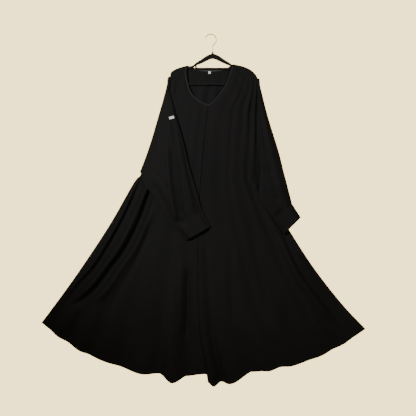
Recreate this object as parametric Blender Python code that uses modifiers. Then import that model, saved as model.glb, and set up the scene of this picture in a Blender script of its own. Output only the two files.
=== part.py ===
"""Abaya cloak on a slim hanger.

Every named size is in millimetres and the mesh is made in metres, +Z up. The front faces -Y. The origin is
the inside of the hook's top, where a rod or nail carries the hanger, and X = 0 lies under it. "Left" and
"right" are the left and right of someone who looks at the front.
"""

import math
from collections import namedtuple

import bmesh
import bpy
import numpy as np
from mathutils import Vector
from mathutils.bvhtree import BVHTree

MM = 0.001

# Cloth
WALL = 1.5
SEAM_GAP = 0.3
SEAM_Y = WALL / 2 + SEAM_GAP / 2
CENTRE_GAP = 1.5
TRIM_WALL = 1.1
LABEL_WALL = 0.8
TRIM_GAP = 0.5

# Hanger
HANGER_X = 8.0
HANGER_THICK = 6.0
HANGER_EDGE_ROUND = 1.0
ARM_UNDER_CLOTH = 3.6
ARM_END_INSET = 13.0
TROUSER_BAR_Z = -236.0
TROUSER_BAR_HEIGHT = 8.0
TIE_BAR_TOP = -157.5
TIE_BAR_HEIGHT = 9.0
TIE_BAR_LEFT = -76.0
TIE_BAR_RIGHT = 97.0
TIE_STUB_WIDTH = 8.0
ARM_TIP_OUT = 2.0
ARM_TIP_Z = -205.0
ARM_FOOT_Z = -226.0
CORNER_CUTS = [(8.0, 1.0), (14.0, 0.0)]
WINDOW_INSET = 9.0
WINDOW_CORNER = 8.0
WINDOW_CORNER_Z = -222.0
RIM_STEPS = 33
CYLINDER_SIDES = 20
HUB_RADIUS = 6.0
HUB_TOP_RADIUS = 3.6
HUB_TOP = -82.0
HUB_BOTTOM = -97.0
WIRE_RADIUS = 1.9
WIRE_CLEARANCE = 0.35
WIRE_END = -91.0
BORE_DEPTH_CLEARANCE = 0.4
BORE_TOP_CLEARANCE = 5.0

# The arch inside the neck, as (distance from the hanger's middle, z), how deep it and the arms are from top
# to underside, as (distance, depth), and where the arch blends into the arms
ARCH = [(0, -90), (12, -92.5), (31, -102), (60, -122), (81, -134.5), (112, -149)]
ARM_HEIGHTS = [(0, 24.0), (28, 24.0), (43, 22.0), (57, 18.5), (71, 15.0), (87, 13.0), (112, 11.0)]
ARCH_BLEND_START = 85.0
ARCH_BLEND_WIDTH = 12.0

# The wire hook: a round over the rod, by degrees, then a tail of points as (x from the middle, z)
HOOK_RADIUS = 24.5
HOOK_CENTRE_X = -1.0
HOOK_TIP_DEGREES = 164
HOOK_TAIL_DEGREES = -26
HOOK_STEP_DEGREES = 10
HOOK_TAIL = [(9.5, -47.5), (4.2, -54.0), (1.0, -61.5), (0.0, -70.0), (0.0, WIRE_END)]

# Levels of the panels, as shares of the way from shoulder to hem
UNDERARM_LEVEL = 0.40
V_LEVEL = 0.15
LEVELS = [0, 0.0018, 0.0055, 0.014, 0.033, 0.06, 0.09, 0.12, V_LEVEL]
LEVELS += [0.20, 0.26, 0.33, UNDERARM_LEVEL, 0.455, 0.52, 0.60, 0.69, 0.78, 0.87, 0.94, 1.0]
TOP_FADE = 3.0
HEM_FADE = 3.0

# Outlines seen from the front, as (x, z)
SHOULDER_LEFT = [(-202, -202), (-190, -180), (-171, -166), (-148, -157), (-112, -147)]
SHOULDER_RIGHT = [(224, -211), (212, -190), (195, -173), (176, -161), (143, -149), (104, -141)]
NECK_LEFT = [(-112, -147), (-116, -183), (-108, -234), (-87, -285), (-43, -321), (-13, -333)]
NECK_RIGHT = [(104, -141), (92, -175), (70, -234), (38, -283), (1, -325), (-13, -333)]
BACK_NECK = [(-112, -147), (-88, -153), (-66, -159.5), (-5, -165.5), (66, -158.5), (86, -151), (104, -141)]
CENTRE_FRONT = [(-13, -333), (-37, -545), (-55, -787), (-62, -997)]
CENTRE_FRONT += [(-60, -1263), (-50, -1430), (-21, -1612), (-12, -1660)]
ARM_FOLD_LEFT = [(-202, -202), (-217, -273), (-252, -397), (-295, -540), (-344, -671)]
SIDE_LEFT = [(-371, -711), (-486, -911), (-638, -1140), (-762, -1311), (-807, -1370)]
ARM_CREASE_RIGHT = [(224, -211), (231, -311), (233, -454), (233, -597), (233, -692)]
SIDE_RIGHT = [(262, -740), (367, -921), (490, -1111), (624, -1282), (735, -1400)]

# Hem: a shallow arc that lifts to each side
HEM_MIDDLE = (-40, -1612)
HEM_LIFT_LEFT = 242.0
HEM_LIFT_RIGHT = 212.0
HEM_POWER = 2.7

# Folds of each panel, from one side seam to the next. hem_x is where the fold's line meets the hem, bodice
# and hem are how far it stands out there (troughs below zero), and drop is how far it hangs below the arc.
Fold = namedtuple("Fold", "name hem_x bodice hem drop")
FRONT_LEFT_FOLDS = [
    Fold("side seam", -807, 0, 0, 0),
    Fold("edge trough", -771, 0, -7, 0),
    Fold("edge roll", -728, 0, 6, 2),
    Fold("long trough", -681, 0, -10, 0),
    Fold("long roll", -624, 0, 8, 4),
    Fold("shallow trough", -576, 0, -5, 0),
    Fold("wide roll", -509, 0, 6, 0),
    Fold("wide trough", -433, -1, -6, 0),
    Fold("knee roll", -328, 0, 9, 12),
    Fold("knee trough", -243, -1, -10, 2),
    Fold("deep lobe", -183, 1, 22, 36),
    Fold("placket trough", -100, -1, -14, 2),
    Fold("centre edge", -21, 0, 5, -6),
]
FRONT_RIGHT_FOLDS = [
    Fold("centre edge", -21, 0, 5, 34),
    Fold("centre lobe", 5, 0, 20, 50),
    Fold("notch", 43, 0, -8, 32),
    Fold("second lobe", 81, 1, 17, 40),
    Fold("middle trough", 200, -2, -8, -8),
    Fold("middle roll", 271, 1, 6, 0),
    Fold("narrow trough", 324, -2, -5, -7),
    Fold("narrow roll", 381, 2, 6, 0),
    Fold("chest trough", 462, -4, -6, 0),
    Fold("chest roll", 519, 3, 8, 0),
    Fold("broad trough", 576, -5, -12, 0),
    Fold("broad roll", 628, 3, 7, 0),
    Fold("sleeve trough", 676, -3, -6, 0),
    Fold("side seam", 735, 0, 0, 0),
]
BACK_FOLDS = [
    Fold("side seam", -807, 0, 0, 0),
    Fold("edge trough", -750, 0, -7, 0),
    Fold("edge roll", -668, 0, 6, 3),
    Fold("outer trough", -590, -1, -8, 0),
    Fold("outer roll", -492, 2, 9, 8),
    Fold("shoulder trough", -405, -2, -8, 0),
    Fold("shoulder roll", -300, 2, 12, 14),
    Fold("blade trough", -205, -3, -10, 4),
    Fold("blade roll", -122, 2, 16, 24),
    Fold("spine trough", -30, -2, -9, 8),
    Fold("spine roll", 62, 2, 16, 28),
    Fold("far blade trough", 150, -3, -10, 4),
    Fold("far blade roll", 246, 2, 11, 12),
    Fold("far shoulder trough", 338, -2, -9, 0),
    Fold("far shoulder roll", 430, 2, 10, 6),
    Fold("far outer trough", 520, -1, -8, 0),
    Fold("far outer roll", 598, 1, 7, 2),
    Fold("far edge trough", 676, 0, -6, 0),
    Fold("side seam", 735, 0, 0, 0),
]
FOLD_START = 0.42
FOLD_GROWTH = 2.4
BODICE_FOLD_LEVEL = 0.10

# How far front and back stand from the middle plane, at the middle of the panel, by height
Stand = namedtuple("Stand", "z front back")
STANDS = [
    Stand(-1650, 38, 25),
    Stand(-1250, 33, 20),
    Stand(-850, 28, 15),
    Stand(-500, 22, 12),
    Stand(-330, 17, 10),
    Stand(-220, 10, 8.5),
    Stand(-140, 7, 7.5),
]
LENS_POWER = 2.4
ARMHOLE_STAND = 5.0
ARMHOLE_CLOSING = 90.0
CAP_RISE = 4.4
CAP_LENGTH = 2.0
CAP_SLOPE = 0.35
ARMHOLE_OPENING_LEVELS = 0.012
ARMHOLE_CLOSING_LEVELS = 0.075
SIDE_SAMPLES = 161
LEAST_STAND = SEAM_Y + 0.1

# Sleeves: the overarm and underarm lines as (x, z), from the armhole to the cuff seam
OVERARM_LEFT = [(-207, -230), (-181, -343), (-134, -506), (-101, -642), (-71, -740), (-45, -837)]
UNDERARM_LEFT = [(-317, -712), (-265, -772), (-226, -835), (-181, -902)]
OVERARM_RIGHT = [(238, -264), (272, -397), (324, -568), (352, -683), (383, -806)]
UNDERARM_RIGHT = [(226, -768), (250, -817), (295, -869)]
CUFF_END_LEFT = [(-3, -912), (-114, -975)]
CUFF_END_RIGHT = [(424, -871), (347, -947)]
SLEEVE_ACROSS = 12
SLEEVE_RINGS = 13
SLEEVE_LIFT = 4.8
SLEEVE_EDGE_LIFT = 9.0
SLEEVE_EDGE_POWER = 1.5
SLEEVE_LIFT_GROWTH = 2.0
RIGHT_SLEEVE_LIFT = 6.3
CUFF_LIFT = 7.3
SLEEVE_HALF_GAP = 7.0
SLEEVE_END_GAP = 1.7
FOLD_HALF_GAP = 4.0
FOLD_END_SHARE = 0.12
SIDE_BULGE_SHARE = 0.25
CUFF_BULGE_SHARE = 0.2
CUFF_HALF_GAP = 7.5
CUFF_RINGS = 4
MOUTH_STRAIGHT = 2.0
MOUTH_CLEARANCE = 0.35
MOUTH_TIP_CLEARANCE = 1.0
MOUTH_TIP_SHARE = 0.1
CUFF_SEAM = 0.5
TURN_ANGLES = [0, 45, 90, 135]
SLEEVE_FOLD_DEPTH = 6.0
SLEEVE_FOLD_WIDTH = 0.14
SLEEVE_FOLD_LINE = (0.10, 0.72)
SLEEVE_FOLD_START = 0.2
UNDERARM_SHORT = 0.965
TWIST_TOP = -610.0
TWIST_BOTTOM = -690.0
CREASE_RISE = 11.0
CREASE_END_RISE = 0.15
CREASE_TOP_SHARE = 0.2
CREASE_FOOT_SHARE = 0.12

# The crease beside the right sleeve: each step's way out over the body where the crease is full (over) or
# gone (plain), and its share of the crease's rise
Step = namedtuple("Step", "plain over rise")
CREASE_STEPS = [
    Step(0.3, 0.3, 0.0),
    Step(2.0, 2.4, 0.04),
    Step(3.2, 2.0, 0.32),
    Step(4.4, -0.8, 0.58),
    Step(5.8, -1.2, 0.80),
    Step(7.6, 3.0, 0.97),
]

# Trims
PLACKET_WIDTH = 24.0
PLACKET_TOP = -343.0
PLACKET_HEM_CLEARANCE = 5.0
PLACKET_STEPS = 20
NECK_BAND_WIDTH = 8.0
NECK_BAND_START = 0.06
NECK_BAND_STEPS = 11
V_POINT_STRETCH = 1.25
BACK_BAND_WIDTH = 9.0
BACK_BAND_ENDS = (0.14, 0.86)
BACK_BAND_STEPS = 12
EDGE_INSET = 1.6
RAY_START = -400.0
NECK_LABEL_CENTRE = (-7.0, -179.0)
NECK_LABEL_SIZE = (11.5, 11.5)
SLEEVE_LABEL_CENTRE = (-186.0, -399.0)
SLEEVE_LABEL_SIZE = (24.0, 12.0)
SLEEVE_LABEL_TILT = 15.0

# Colours, as (red, green, blue), roughness and metallic value
CLOTH_BLACK = ((0.012, 0.011, 0.012), 0.85, 0.0)
TRIM_BLACK = ((0.007, 0.0065, 0.007), 0.8, 0.0)
FACING_GREY = ((0.05, 0.05, 0.048), 0.8, 0.0)
LABEL_WHITE = ((0.92, 0.91, 0.87), 0.7, 0.0)
FLOCK_BLACK = ((0.010, 0.010, 0.010), 0.95, 0.0)
HOOK_STEEL = ((0.44, 0.43, 0.41), 0.35, 1.0)


def smooth(value):
    """0 below 0, 1 above 1, and a soft step between."""
    value = min(1.0, max(0.0, value))
    return value * value * (3 - 2 * value)


def mix(first, last, share):
    return first + (last - first) * share


def mix_points(first, last, share):
    return (mix(first[0], last[0], share), mix(first[1], last[1], share))


class Outline:
    """A smooth line through a few points of the front view, read by its share of length or by height."""

    STEPS = 12

    def __init__(self, points):
        before = (2 * points[0][0] - points[1][0], 2 * points[0][1] - points[1][1])
        after = (2 * points[-1][0] - points[-2][0], 2 * points[-1][1] - points[-2][1])
        ends = np.array([before, *points, after], float)
        dense = []
        for i in range(1, len(ends) - 2):
            for step in range(self.STEPS):
                dense.append(self.between(ends[i - 1 : i + 3], step / self.STEPS))
        dense.append(ends[-2])
        self.points = np.array(dense)
        steps = np.linalg.norm(np.diff(self.points, axis=0), axis=1)
        self.length = steps.sum()
        self.shares = np.concatenate([[0], np.cumsum(steps)]) / self.length

    @staticmethod
    def between(four, t):
        """The Catmull-Rom curve from the second of four points to the third."""
        a, b, c, d = four
        bend = (2 * a - 5 * b + 4 * c - d) * t**2 + (3 * b - a - 3 * c + d) * t**3
        return b + 0.5 * ((c - a) * t + bend)

    def at(self, share):
        x = np.interp(share, self.shares, self.points[:, 0])
        z = np.interp(share, self.shares, self.points[:, 1])
        return (float(x), float(z))

    def x_at(self, z):
        return float(np.interp(-z, -self.points[:, 1], self.points[:, 0]))

    def z_at(self, x):
        order = np.argsort(self.points[:, 0])
        return float(np.interp(x, self.points[order, 0], self.points[order, 1]))

    def normal(self, share):
        """The unit direction to the left of the line as it runs."""
        (ax, az), (bx, bz) = self.at(max(0, share - 0.01)), self.at(min(1, share + 0.01))
        length = math.hypot(bx - ax, bz - az)
        return (-(bz - az) / length, (bx - ax) / length)


def armhole_stand(level):
    """How far each panel's edge stands from the middle plane along the armhole, by level."""
    opening = smooth(level / ARMHOLE_OPENING_LEVELS)
    closing = smooth((UNDERARM_LEVEL - level) / ARMHOLE_CLOSING_LEVELS)
    return SEAM_Y + (ARMHOLE_STAND - SEAM_Y) * min(opening, closing)


def fold_half_gap(level):
    """Half of the hollow in the sleeve where it turns over the front."""
    share = level / UNDERARM_LEVEL
    full = smooth(share / FOLD_END_SHARE) * smooth((1 - share) / FOLD_END_SHARE)
    return mix(SLEEVE_END_GAP, FOLD_HALF_GAP, full)


def turn_room(level):
    """How far the left sleeve's turn reaches past the body's edge."""
    return MOUTH_STRAIGHT + armhole_stand(level) + SLEEVE_LIFT / 2 + fold_half_gap(level)


class Side:
    """One side of the body: the armhole line down to the underarm, then the side seam down to the hem."""

    def __init__(self, arm, seam, inset):
        self.arm = Outline(arm)
        self.inset = inset
        corner_x, corner_z = self.arm.at(1)
        self.seam = Outline([(corner_x + inset(UNDERARM_LEVEL), corner_z), *seam])
        levels = np.linspace(0, 1, SIDE_SAMPLES)
        self.sampled = np.array([self.at(level) for level in levels])

    def at(self, level):
        if level < UNDERARM_LEVEL:
            x, z = self.arm.at(level / UNDERARM_LEVEL)
            return (x + self.inset(level), z)
        return self.seam.at((level - UNDERARM_LEVEL) / (1 - UNDERARM_LEVEL))

    def x_at(self, z):
        return float(np.interp(-z, -self.sampled[:, 1], self.sampled[:, 0]))

    @property
    def corner_z(self):
        return self.arm.at(1)[1]


LEFT_SIDE = Side(ARM_FOLD_LEFT, SIDE_LEFT, turn_room)
RIGHT_SIDE = Side(ARM_CREASE_RIGHT, SIDE_RIGHT, lambda level: 0.0)
CENTRE = Outline(CENTRE_FRONT)


def with_first(outline_points, first):
    """The same outline, started at the body's own corner."""
    return Outline([first, *outline_points[1:]])


LEFT_SHOULDER = with_first(SHOULDER_LEFT, LEFT_SIDE.at(0))
RIGHT_SHOULDER = with_first(SHOULDER_RIGHT, RIGHT_SIDE.at(0))


def seam_z(x):
    """Height of the shoulder line at x, straight across the neck."""
    if x <= SHOULDER_LEFT[-1][0]:
        return LEFT_SHOULDER.z_at(x)
    if x >= SHOULDER_RIGHT[-1][0]:
        return RIGHT_SHOULDER.z_at(x)
    left, right = SHOULDER_LEFT[-1], SHOULDER_RIGHT[-1]
    return mix(left[1], right[1], (x - left[0]) / (right[0] - left[0]))


def hem_z(x):
    """Height of the plain hem arc."""
    middle_x, middle_z = HEM_MIDDLE
    if x < middle_x:
        half, lift = middle_x - LEFT_SIDE.at(1)[0], HEM_LIFT_LEFT
    else:
        half, lift = RIGHT_SIDE.at(1)[0] - middle_x, HEM_LIFT_RIGHT
    return middle_z + lift * (abs(x - middle_x) / half) ** HEM_POWER


def stand_at(x, z, face):
    """How far the smooth panel stands from the middle plane. face is front or back."""
    left, right = LEFT_SIDE.x_at(z), RIGHT_SIDE.x_at(z)
    across = min(1.0, max(0.0, (x - left) / (right - left)))
    corner = LEFT_SIDE.corner_z if across < 0.5 else RIGHT_SIDE.corner_z
    edge = mix(SEAM_Y, ARMHOLE_STAND, smooth((z - corner) / ARMHOLE_CLOSING))
    heights = [stand.z for stand in STANDS]
    full = float(np.interp(z, heights, [getattr(stand, face) for stand in STANDS]))
    lens = 1 - abs(1 - 2 * across) ** LENS_POWER
    below = max(0.0, seam_z(x) - z)
    cap = SEAM_Y + CAP_RISE * (1 - math.exp(-below / CAP_LENGTH)) + CAP_SLOPE * below
    return min(mix(edge, full, lens), cap)


def fold_value(folds, share, field):
    """A fold's named value at a share of the hem, eased from fold to fold."""
    first, last = folds[0].hem_x, folds[-1].hem_x
    x = mix(first, last, share)
    for a, b in zip(folds, folds[1:]):
        if x <= b.hem_x:
            step = smooth((x - a.hem_x) / (b.hem_x - a.hem_x))
            return mix(getattr(a, field), getattr(b, field), step)
    return getattr(folds[-1], field)


def columns(folds):
    """Shares of the hem at each fold's line and half way to the next one."""
    first, last = folds[0].hem_x, folds[-1].hem_x
    lines = [fold.hem_x for fold in folds]
    halves = [(a + b) / 2 for a, b in zip(lines, lines[1:])]
    return [(x - first) / (last - first) for x in sorted(lines + halves)]


class Panel:
    """A panel between two edge lines, a top line and the hem, with its folds."""

    def __init__(self, face, first_edge, last_edge, top, folds):
        self.face = face
        self.first_edge = first_edge
        self.last_edge = last_edge
        self.top = top
        self.folds = folds

    def flat(self, share, level):
        """The panel's point in the front view."""
        first, last = self.first_edge(level), self.last_edge(level)
        top, top_line = self.top(share), mix_points(self.top(0), self.top(1), share)
        hem_first, hem_last = self.first_edge(1), self.last_edge(1)
        hem_x = mix(hem_first[0], hem_last[0], share)
        drop = fold_value(self.folds, share, "drop")
        hem_off = hem_z(hem_x) - drop - mix(hem_first[1], hem_last[1], share)
        x, z = mix_points(first, last, share)
        near_top, near_hem = (1 - level) ** TOP_FADE, level**HEM_FADE
        x += near_top * (top[0] - top_line[0])
        z += near_top * (top[1] - top_line[1]) + near_hem * hem_off
        return (x, z)

    def point(self, share, level):
        x, z = self.flat(share, level)
        growth = max(0.0, (level - FOLD_START) / (1 - FOLD_START)) ** FOLD_GROWTH
        rise = fold_value(self.folds, share, "hem") * growth
        rise += fold_value(self.folds, share, "bodice") * smooth(level / BODICE_FOLD_LEVEL) * (1 - growth)
        stand = stand_at(x, z, self.face)
        if 0 < share < 1 or self.face == "front":
            stand = max(min(stand, LEAST_STAND), stand + rise)
        return (x, -stand if self.face == "front" else stand, z)

    def rows(self):
        shares = columns(self.folds)
        return [[self.point(share, level) for share in shares] for level in LEVELS]


def front_edge(neck, side_gap, hem_fold):
    """The neckline down to the V, then the centre front down to this panel's own hem."""
    line = Outline(neck)
    top_z = neck[-1][1]
    bottom_z = hem_z(hem_fold.hem_x) - hem_fold.drop

    def at(level):
        if level < V_LEVEL:
            x, z = line.at(level / V_LEVEL)
        else:
            z = mix(top_z, bottom_z, (level - V_LEVEL) / (1 - V_LEVEL))
            x = CENTRE.x_at(z)
        return (x + side_gap * min(1.0, level / V_LEVEL) ** 4, z)

    return at


def back_top(share):
    """Left shoulder, back neckline and right shoulder as one line, by share of the hem."""
    neck = Outline(BACK_NECK)
    total = LEFT_SHOULDER.length + neck.length + RIGHT_SHOULDER.length
    along = share * total
    if along < LEFT_SHOULDER.length:
        return LEFT_SHOULDER.at(along / LEFT_SHOULDER.length)
    along -= LEFT_SHOULDER.length
    if along < neck.length:
        return neck.at(along / neck.length)
    return RIGHT_SHOULDER.at(1 - (along - neck.length) / RIGHT_SHOULDER.length)


def material(name, finish):
    colour, roughness, metallic = finish
    made = bpy.data.materials.new(name)
    made.use_nodes = True
    shader = made.node_tree.nodes["Principled BSDF"]
    shader.inputs["Base Color"].default_value = (*colour, 1.0)
    shader.inputs["Roughness"].default_value = roughness
    shader.inputs["Metallic"].default_value = metallic
    return made


def add_object(name, data, collection, look):
    obj = bpy.data.objects.new(name, data)
    collection.objects.link(obj)
    obj.data.materials.append(look)
    return obj


def sheet(name, rows, wall, look, collection, closed=False):
    """A wall of cloth through rows of points. closed joins each row's ends, as on a tube."""
    mesh = bpy.data.meshes.new(name)
    form = bmesh.new()
    grid = [[form.verts.new([value * MM for value in point]) for point in row] for row in rows]
    count = len(rows[0])
    for upper, lower in zip(grid, grid[1:]):
        for i in range(count if closed else count - 1):
            j = (i + 1) % count
            form.faces.new([upper[i], lower[i], lower[j], upper[j]])
    bmesh.ops.triangulate(form, faces=form.faces[:], quad_method="SHORT_EDGE")
    form.to_mesh(mesh)
    form.free()
    mesh.shade_smooth()
    obj = add_object(name, mesh, collection, look)
    shell = obj.modifiers.new("Wall", "SOLIDIFY")
    shell.thickness = wall * MM
    shell.offset = 0
    return obj


def surface_of(objects):
    """One tree of the finished faces of some pieces, for laying trims on them."""
    graph = bpy.context.evaluated_depsgraph_get()
    graph.update()
    points, faces = [], []
    for obj in objects:
        mesh = obj.evaluated_get(graph).to_mesh()
        start = len(points)
        points += [vertex.co.copy() for vertex in mesh.vertices]
        faces += [[start + index for index in face.vertices] for face in mesh.polygons]
    return BVHTree.FromPolygons(points, faces)


def lay_on(tree, x, z, lift, start_y):
    """The point that far in front of the foremost face here or just beside it, going back along Y."""
    met = []
    for aside in (0, -CENTRE_GAP, CENTRE_GAP):
        origin = Vector(((x + aside) * MM, start_y * MM, z * MM))
        hit, _, _, _ = tree.ray_cast(origin, Vector((0, 1, 0)))
        if hit is not None:
            met.append(hit.y / MM)
    return (x, min(met) - lift, z)


def trim(name, lines, tree, wall, look, collection, from_inside=False, stiff=False):
    """A strip that lies on a panel, between two lines of the front view. A stiff one stays flat."""
    lift = TRIM_GAP + wall / 2
    start_y = 0.0 if from_inside else RAY_START
    rows = []
    for first, last in zip(*lines):
        line = [mix_points(first, last, share) for share in (0, 0.5, 1)]
        rows.append([lay_on(tree, x, z, lift, start_y) for x, z in line])
    if stiff:
        nearest = min(y for row in rows for _, y, _ in row)
        rows = [[(x, nearest, z) for x, _, z in row] for row in rows]
    return sheet(name, rows, wall, look, collection)


def armhole_point(side, level):
    """A point of the armhole, on the straight stretch between two rows of the panel."""
    corners = [side.at(row) for row in LEVELS]
    x = float(np.interp(level, LEVELS, [corner[0] for corner in corners]))
    z = float(np.interp(level, LEVELS, [corner[1] for corner in corners]))
    return x, z


def panel_stand(side, level, face):
    """How far the panel's edge stands from the middle plane at a level of the armhole."""
    stands = [stand_at(*side.at(row), face) for row in LEVELS]
    return float(np.interp(level, LEVELS, stands))


class Sleeve:
    """A flattened tube from the armhole to the cuff seam, with an outer and an inner wall."""

    def __init__(self, side, overarm, underarm, lift, half_gap, outwards):
        self.levels = [UNDERARM_LEVEL * UNDERARM_SHORT * i / SLEEVE_ACROSS for i in range(SLEEVE_ACROSS + 1)]
        self.mouth = [armhole_point(side, level) for level in self.levels]
        self.stands = [max(SLEEVE_END_GAP, panel_stand(side, level, "front")) for level in self.levels]
        self.outwards = outwards
        starts = [(x + outwards * MOUTH_STRAIGHT, z) for x, z in self.mouth]
        self.starts = starts
        self.overarm = Outline([starts[0], *overarm])
        self.underarm = Outline([starts[-1], *underarm])
        self.lift = lift
        self.half_gap = half_gap

    def clear_x(self, i):
        """The mouth's own edge, a seam's gap away from the body and a little more at its two ends."""
        tip = 1 - smooth(min(i, SLEEVE_ACROSS - i) / SLEEVE_ACROSS / MOUTH_TIP_SHARE)
        return self.mouth[i][0] + self.outwards * (MOUTH_CLEARANCE + MOUTH_TIP_CLEARANCE * tip)

    def flat(self, along, i):
        across = i / SLEEVE_ACROSS
        x, z = mix_points(self.overarm.at(along), self.underarm.at(along), across)
        line = mix_points(self.starts[0], self.starts[-1], across)
        fade = (1 - along) ** 2
        return (x + fade * (self.starts[i][0] - line[0]), z + fade * (self.starts[i][1] - line[1]))

    def on_body(self, along, i):
        """Depth of the wall that lies on the front panel."""
        x, z = self.flat(along, i)
        return -(stand_at(x, z, "front") + self.lift(along, i / SLEEVE_ACROSS))


def bulge(across, edge):
    """0 at both edges of a flattened tube and 1 between them, eased over edge as a share of its width."""
    return smooth(across / edge) * smooth((1 - across) / edge)


def left_lift(along, across):
    """The overarm edge stands proud of the front, the rest lies close on it."""
    proud = SLEEVE_EDGE_LIFT * math.sin(math.pi * along) * (1 - across) ** SLEEVE_EDGE_POWER
    return SLEEVE_LIFT + proud + SLEEVE_LIFT_GROWTH * smooth(along * 3)


def left_half_gap(along, across):
    """Half of the hollow in the left sleeve, with its long trough towards the cuff."""
    level = UNDERARM_LEVEL * UNDERARM_SHORT * across
    body = mix(SLEEVE_END_GAP, SLEEVE_HALF_GAP, bulge(across, SIDE_BULGE_SHARE))
    off_line = (across - mix(*SLEEVE_FOLD_LINE, along)) / SLEEVE_FOLD_WIDTH
    depth = SLEEVE_FOLD_DEPTH / 2 * smooth((along - SLEEVE_FOLD_START) * 3)
    trough = depth * math.exp(-(off_line**2))
    return mix(fold_half_gap(level), max(SLEEVE_END_GAP, body - trough), smooth(along * 5))


def left_sleeve_rings(sleeve):
    """A short straight mouth, the turn over the body's edge, then the sleeve across the front."""
    rings = []
    for step, degrees in enumerate([None, *TURN_ANGLES]):
        angle = math.radians(degrees or 0)
        outer, inner = [], []
        for i, level in enumerate(sleeve.levels):
            z = sleeve.mouth[i][1]
            x = sleeve.clear_x(i) if step == 0 else sleeve.starts[i][0]
            stand, gap, tight = sleeve.stands[i], fold_half_gap(level), SLEEVE_LIFT / 2
            wide = stand + tight + gap
            outer.append((x - wide * math.sin(angle), -tight - gap + wide * math.cos(angle), z))
            inner.append((x - tight * math.sin(angle), -stand - tight + tight * math.cos(angle), z))
        rings.append(outer + inner[::-1])
    for step in range(SLEEVE_RINGS + 1):
        along = step / SLEEVE_RINGS
        outer, inner = [], []
        for i in range(SLEEVE_ACROSS + 1):
            x, z = sleeve.flat(along, i)
            near = sleeve.on_body(along, i)
            near = mix(-sleeve.stands[i] - SLEEVE_LIFT, near, smooth(along * 6))
            outer.append((x, near - 2 * sleeve.half_gap(along, i / SLEEVE_ACROSS), z))
            inner.append((x, near, z))
        rings.append(outer + inner[::-1])
    return rings


def right_lift(_along, _across):
    """The same all over, as the right sleeve only hangs beside the body."""
    return RIGHT_SLEEVE_LIFT


def right_half_gap(_along, across):
    return mix(SLEEVE_END_GAP, SLEEVE_HALF_GAP, bulge(across, SIDE_BULGE_SHARE))


def right_sleeve_rings(sleeve):
    """The crease that rolls out of the front panel, then the sleeve hanging at the side."""
    rings = []
    for step in range(len(CREASE_STEPS) + SLEEVE_RINGS):
        crease = CREASE_STEPS[step] if step < len(CREASE_STEPS) else None
        along = 0.0 if crease else (step - len(CREASE_STEPS) + 1) / SLEEVE_RINGS
        outer, inner = [], []
        for i in range(SLEEVE_ACROSS + 1):
            across = i / SLEEVE_ACROSS
            x, z = sleeve.flat(along, i)
            stand = sleeve.stands[i]
            full = smooth(across / CREASE_TOP_SHARE) * smooth((1 - across) / CREASE_FOOT_SHARE)
            behind = smooth((z - TWIST_BOTTOM) / (TWIST_TOP - TWIST_BOTTOM))
            near = mix(sleeve.on_body(along, i), stand, behind)
            far_body = near - 2 * sleeve.half_gap(along, across)
            far_open = -stand - CREASE_RISE * mix(CREASE_END_RISE, 1.0, full)
            far = mix(far_body, far_open, behind)
            outer_x = inner_x = x
            if crease:
                base = sleeve.clear_x(i) - SEAM_GAP
                outer_x = base + mix(crease.plain, crease.over, full)
                inner_x = base + crease.plain
                far = mix(-stand, far_open, crease.rise)
                near = stand
            outer.append((outer_x, far, z))
            inner.append((inner_x, near, z))
        rings.append(outer + inner[::-1])
    return rings


def cuff_rings(last_ring, end_line):
    """A straight ring that carries on from the sleeve's last ring."""
    count = SLEEVE_ACROSS + 1
    outer, inner = last_ring[:count], last_ring[count:][::-1]
    rings = []
    for step in range(CUFF_RINGS + 1):
        along = step / CUFF_RINGS
        row_outer, row_inner = [], []
        for i in range(count):
            across = i / SLEEVE_ACROSS
            end = mix_points(end_line[0], end_line[1], across)
            length = math.hypot(end[0] - outer[i][0], end[1] - outer[i][2])
            share = mix(CUFF_SEAM / length, 1.0, along)
            x, z = mix_points((outer[i][0], outer[i][2]), end, share)
            seam_gap = (inner[i][1] - outer[i][1]) / 2
            full_gap = mix(SLEEVE_END_GAP, CUFF_HALF_GAP, bulge(across, CUFF_BULGE_SHARE))
            gap = mix(seam_gap, full_gap, smooth(along * 2))
            near = mix(inner[i][1], -stand_at(x, z, "front") - CUFF_LIFT, smooth(along * 1.5))
            row_outer.append((x, near - 2 * gap, z))
            row_inner.append((x, near, z))
        rings.append(row_outer + row_inner[::-1])
    return rings


def arch_z(x):
    """Top of the hanger: the arch inside the neck, then just under the shoulder seams."""
    off = abs(x - HANGER_X)
    arch = float(np.interp(off, [point[0] for point in ARCH], [point[1] for point in ARCH]))
    under = seam_z(x) - ARM_UNDER_CLOTH
    if x < SHOULDER_LEFT[-1][0] or x > SHOULDER_RIGHT[-1][0]:
        return min(arch, under) if off < ARCH[-1][0] else under
    return min(arch, mix(arch, under, smooth((off - ARCH_BLEND_START) / ARCH_BLEND_WIDTH)))


def under_arm_z(x):
    """Underside of the arch and the arms."""
    off, depth = zip(*ARM_HEIGHTS)
    return arch_z(x) - float(np.interp(abs(x - HANGER_X), off, depth))


def flat_spline(curve, points):
    spline = curve.splines.new("POLY")
    spline.points.add(len(points) - 1)
    for target, (x, z) in zip(spline.points, points):
        target.co = (x * MM, z * MM, 0, 1)
    spline.use_cyclic_u = True


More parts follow.
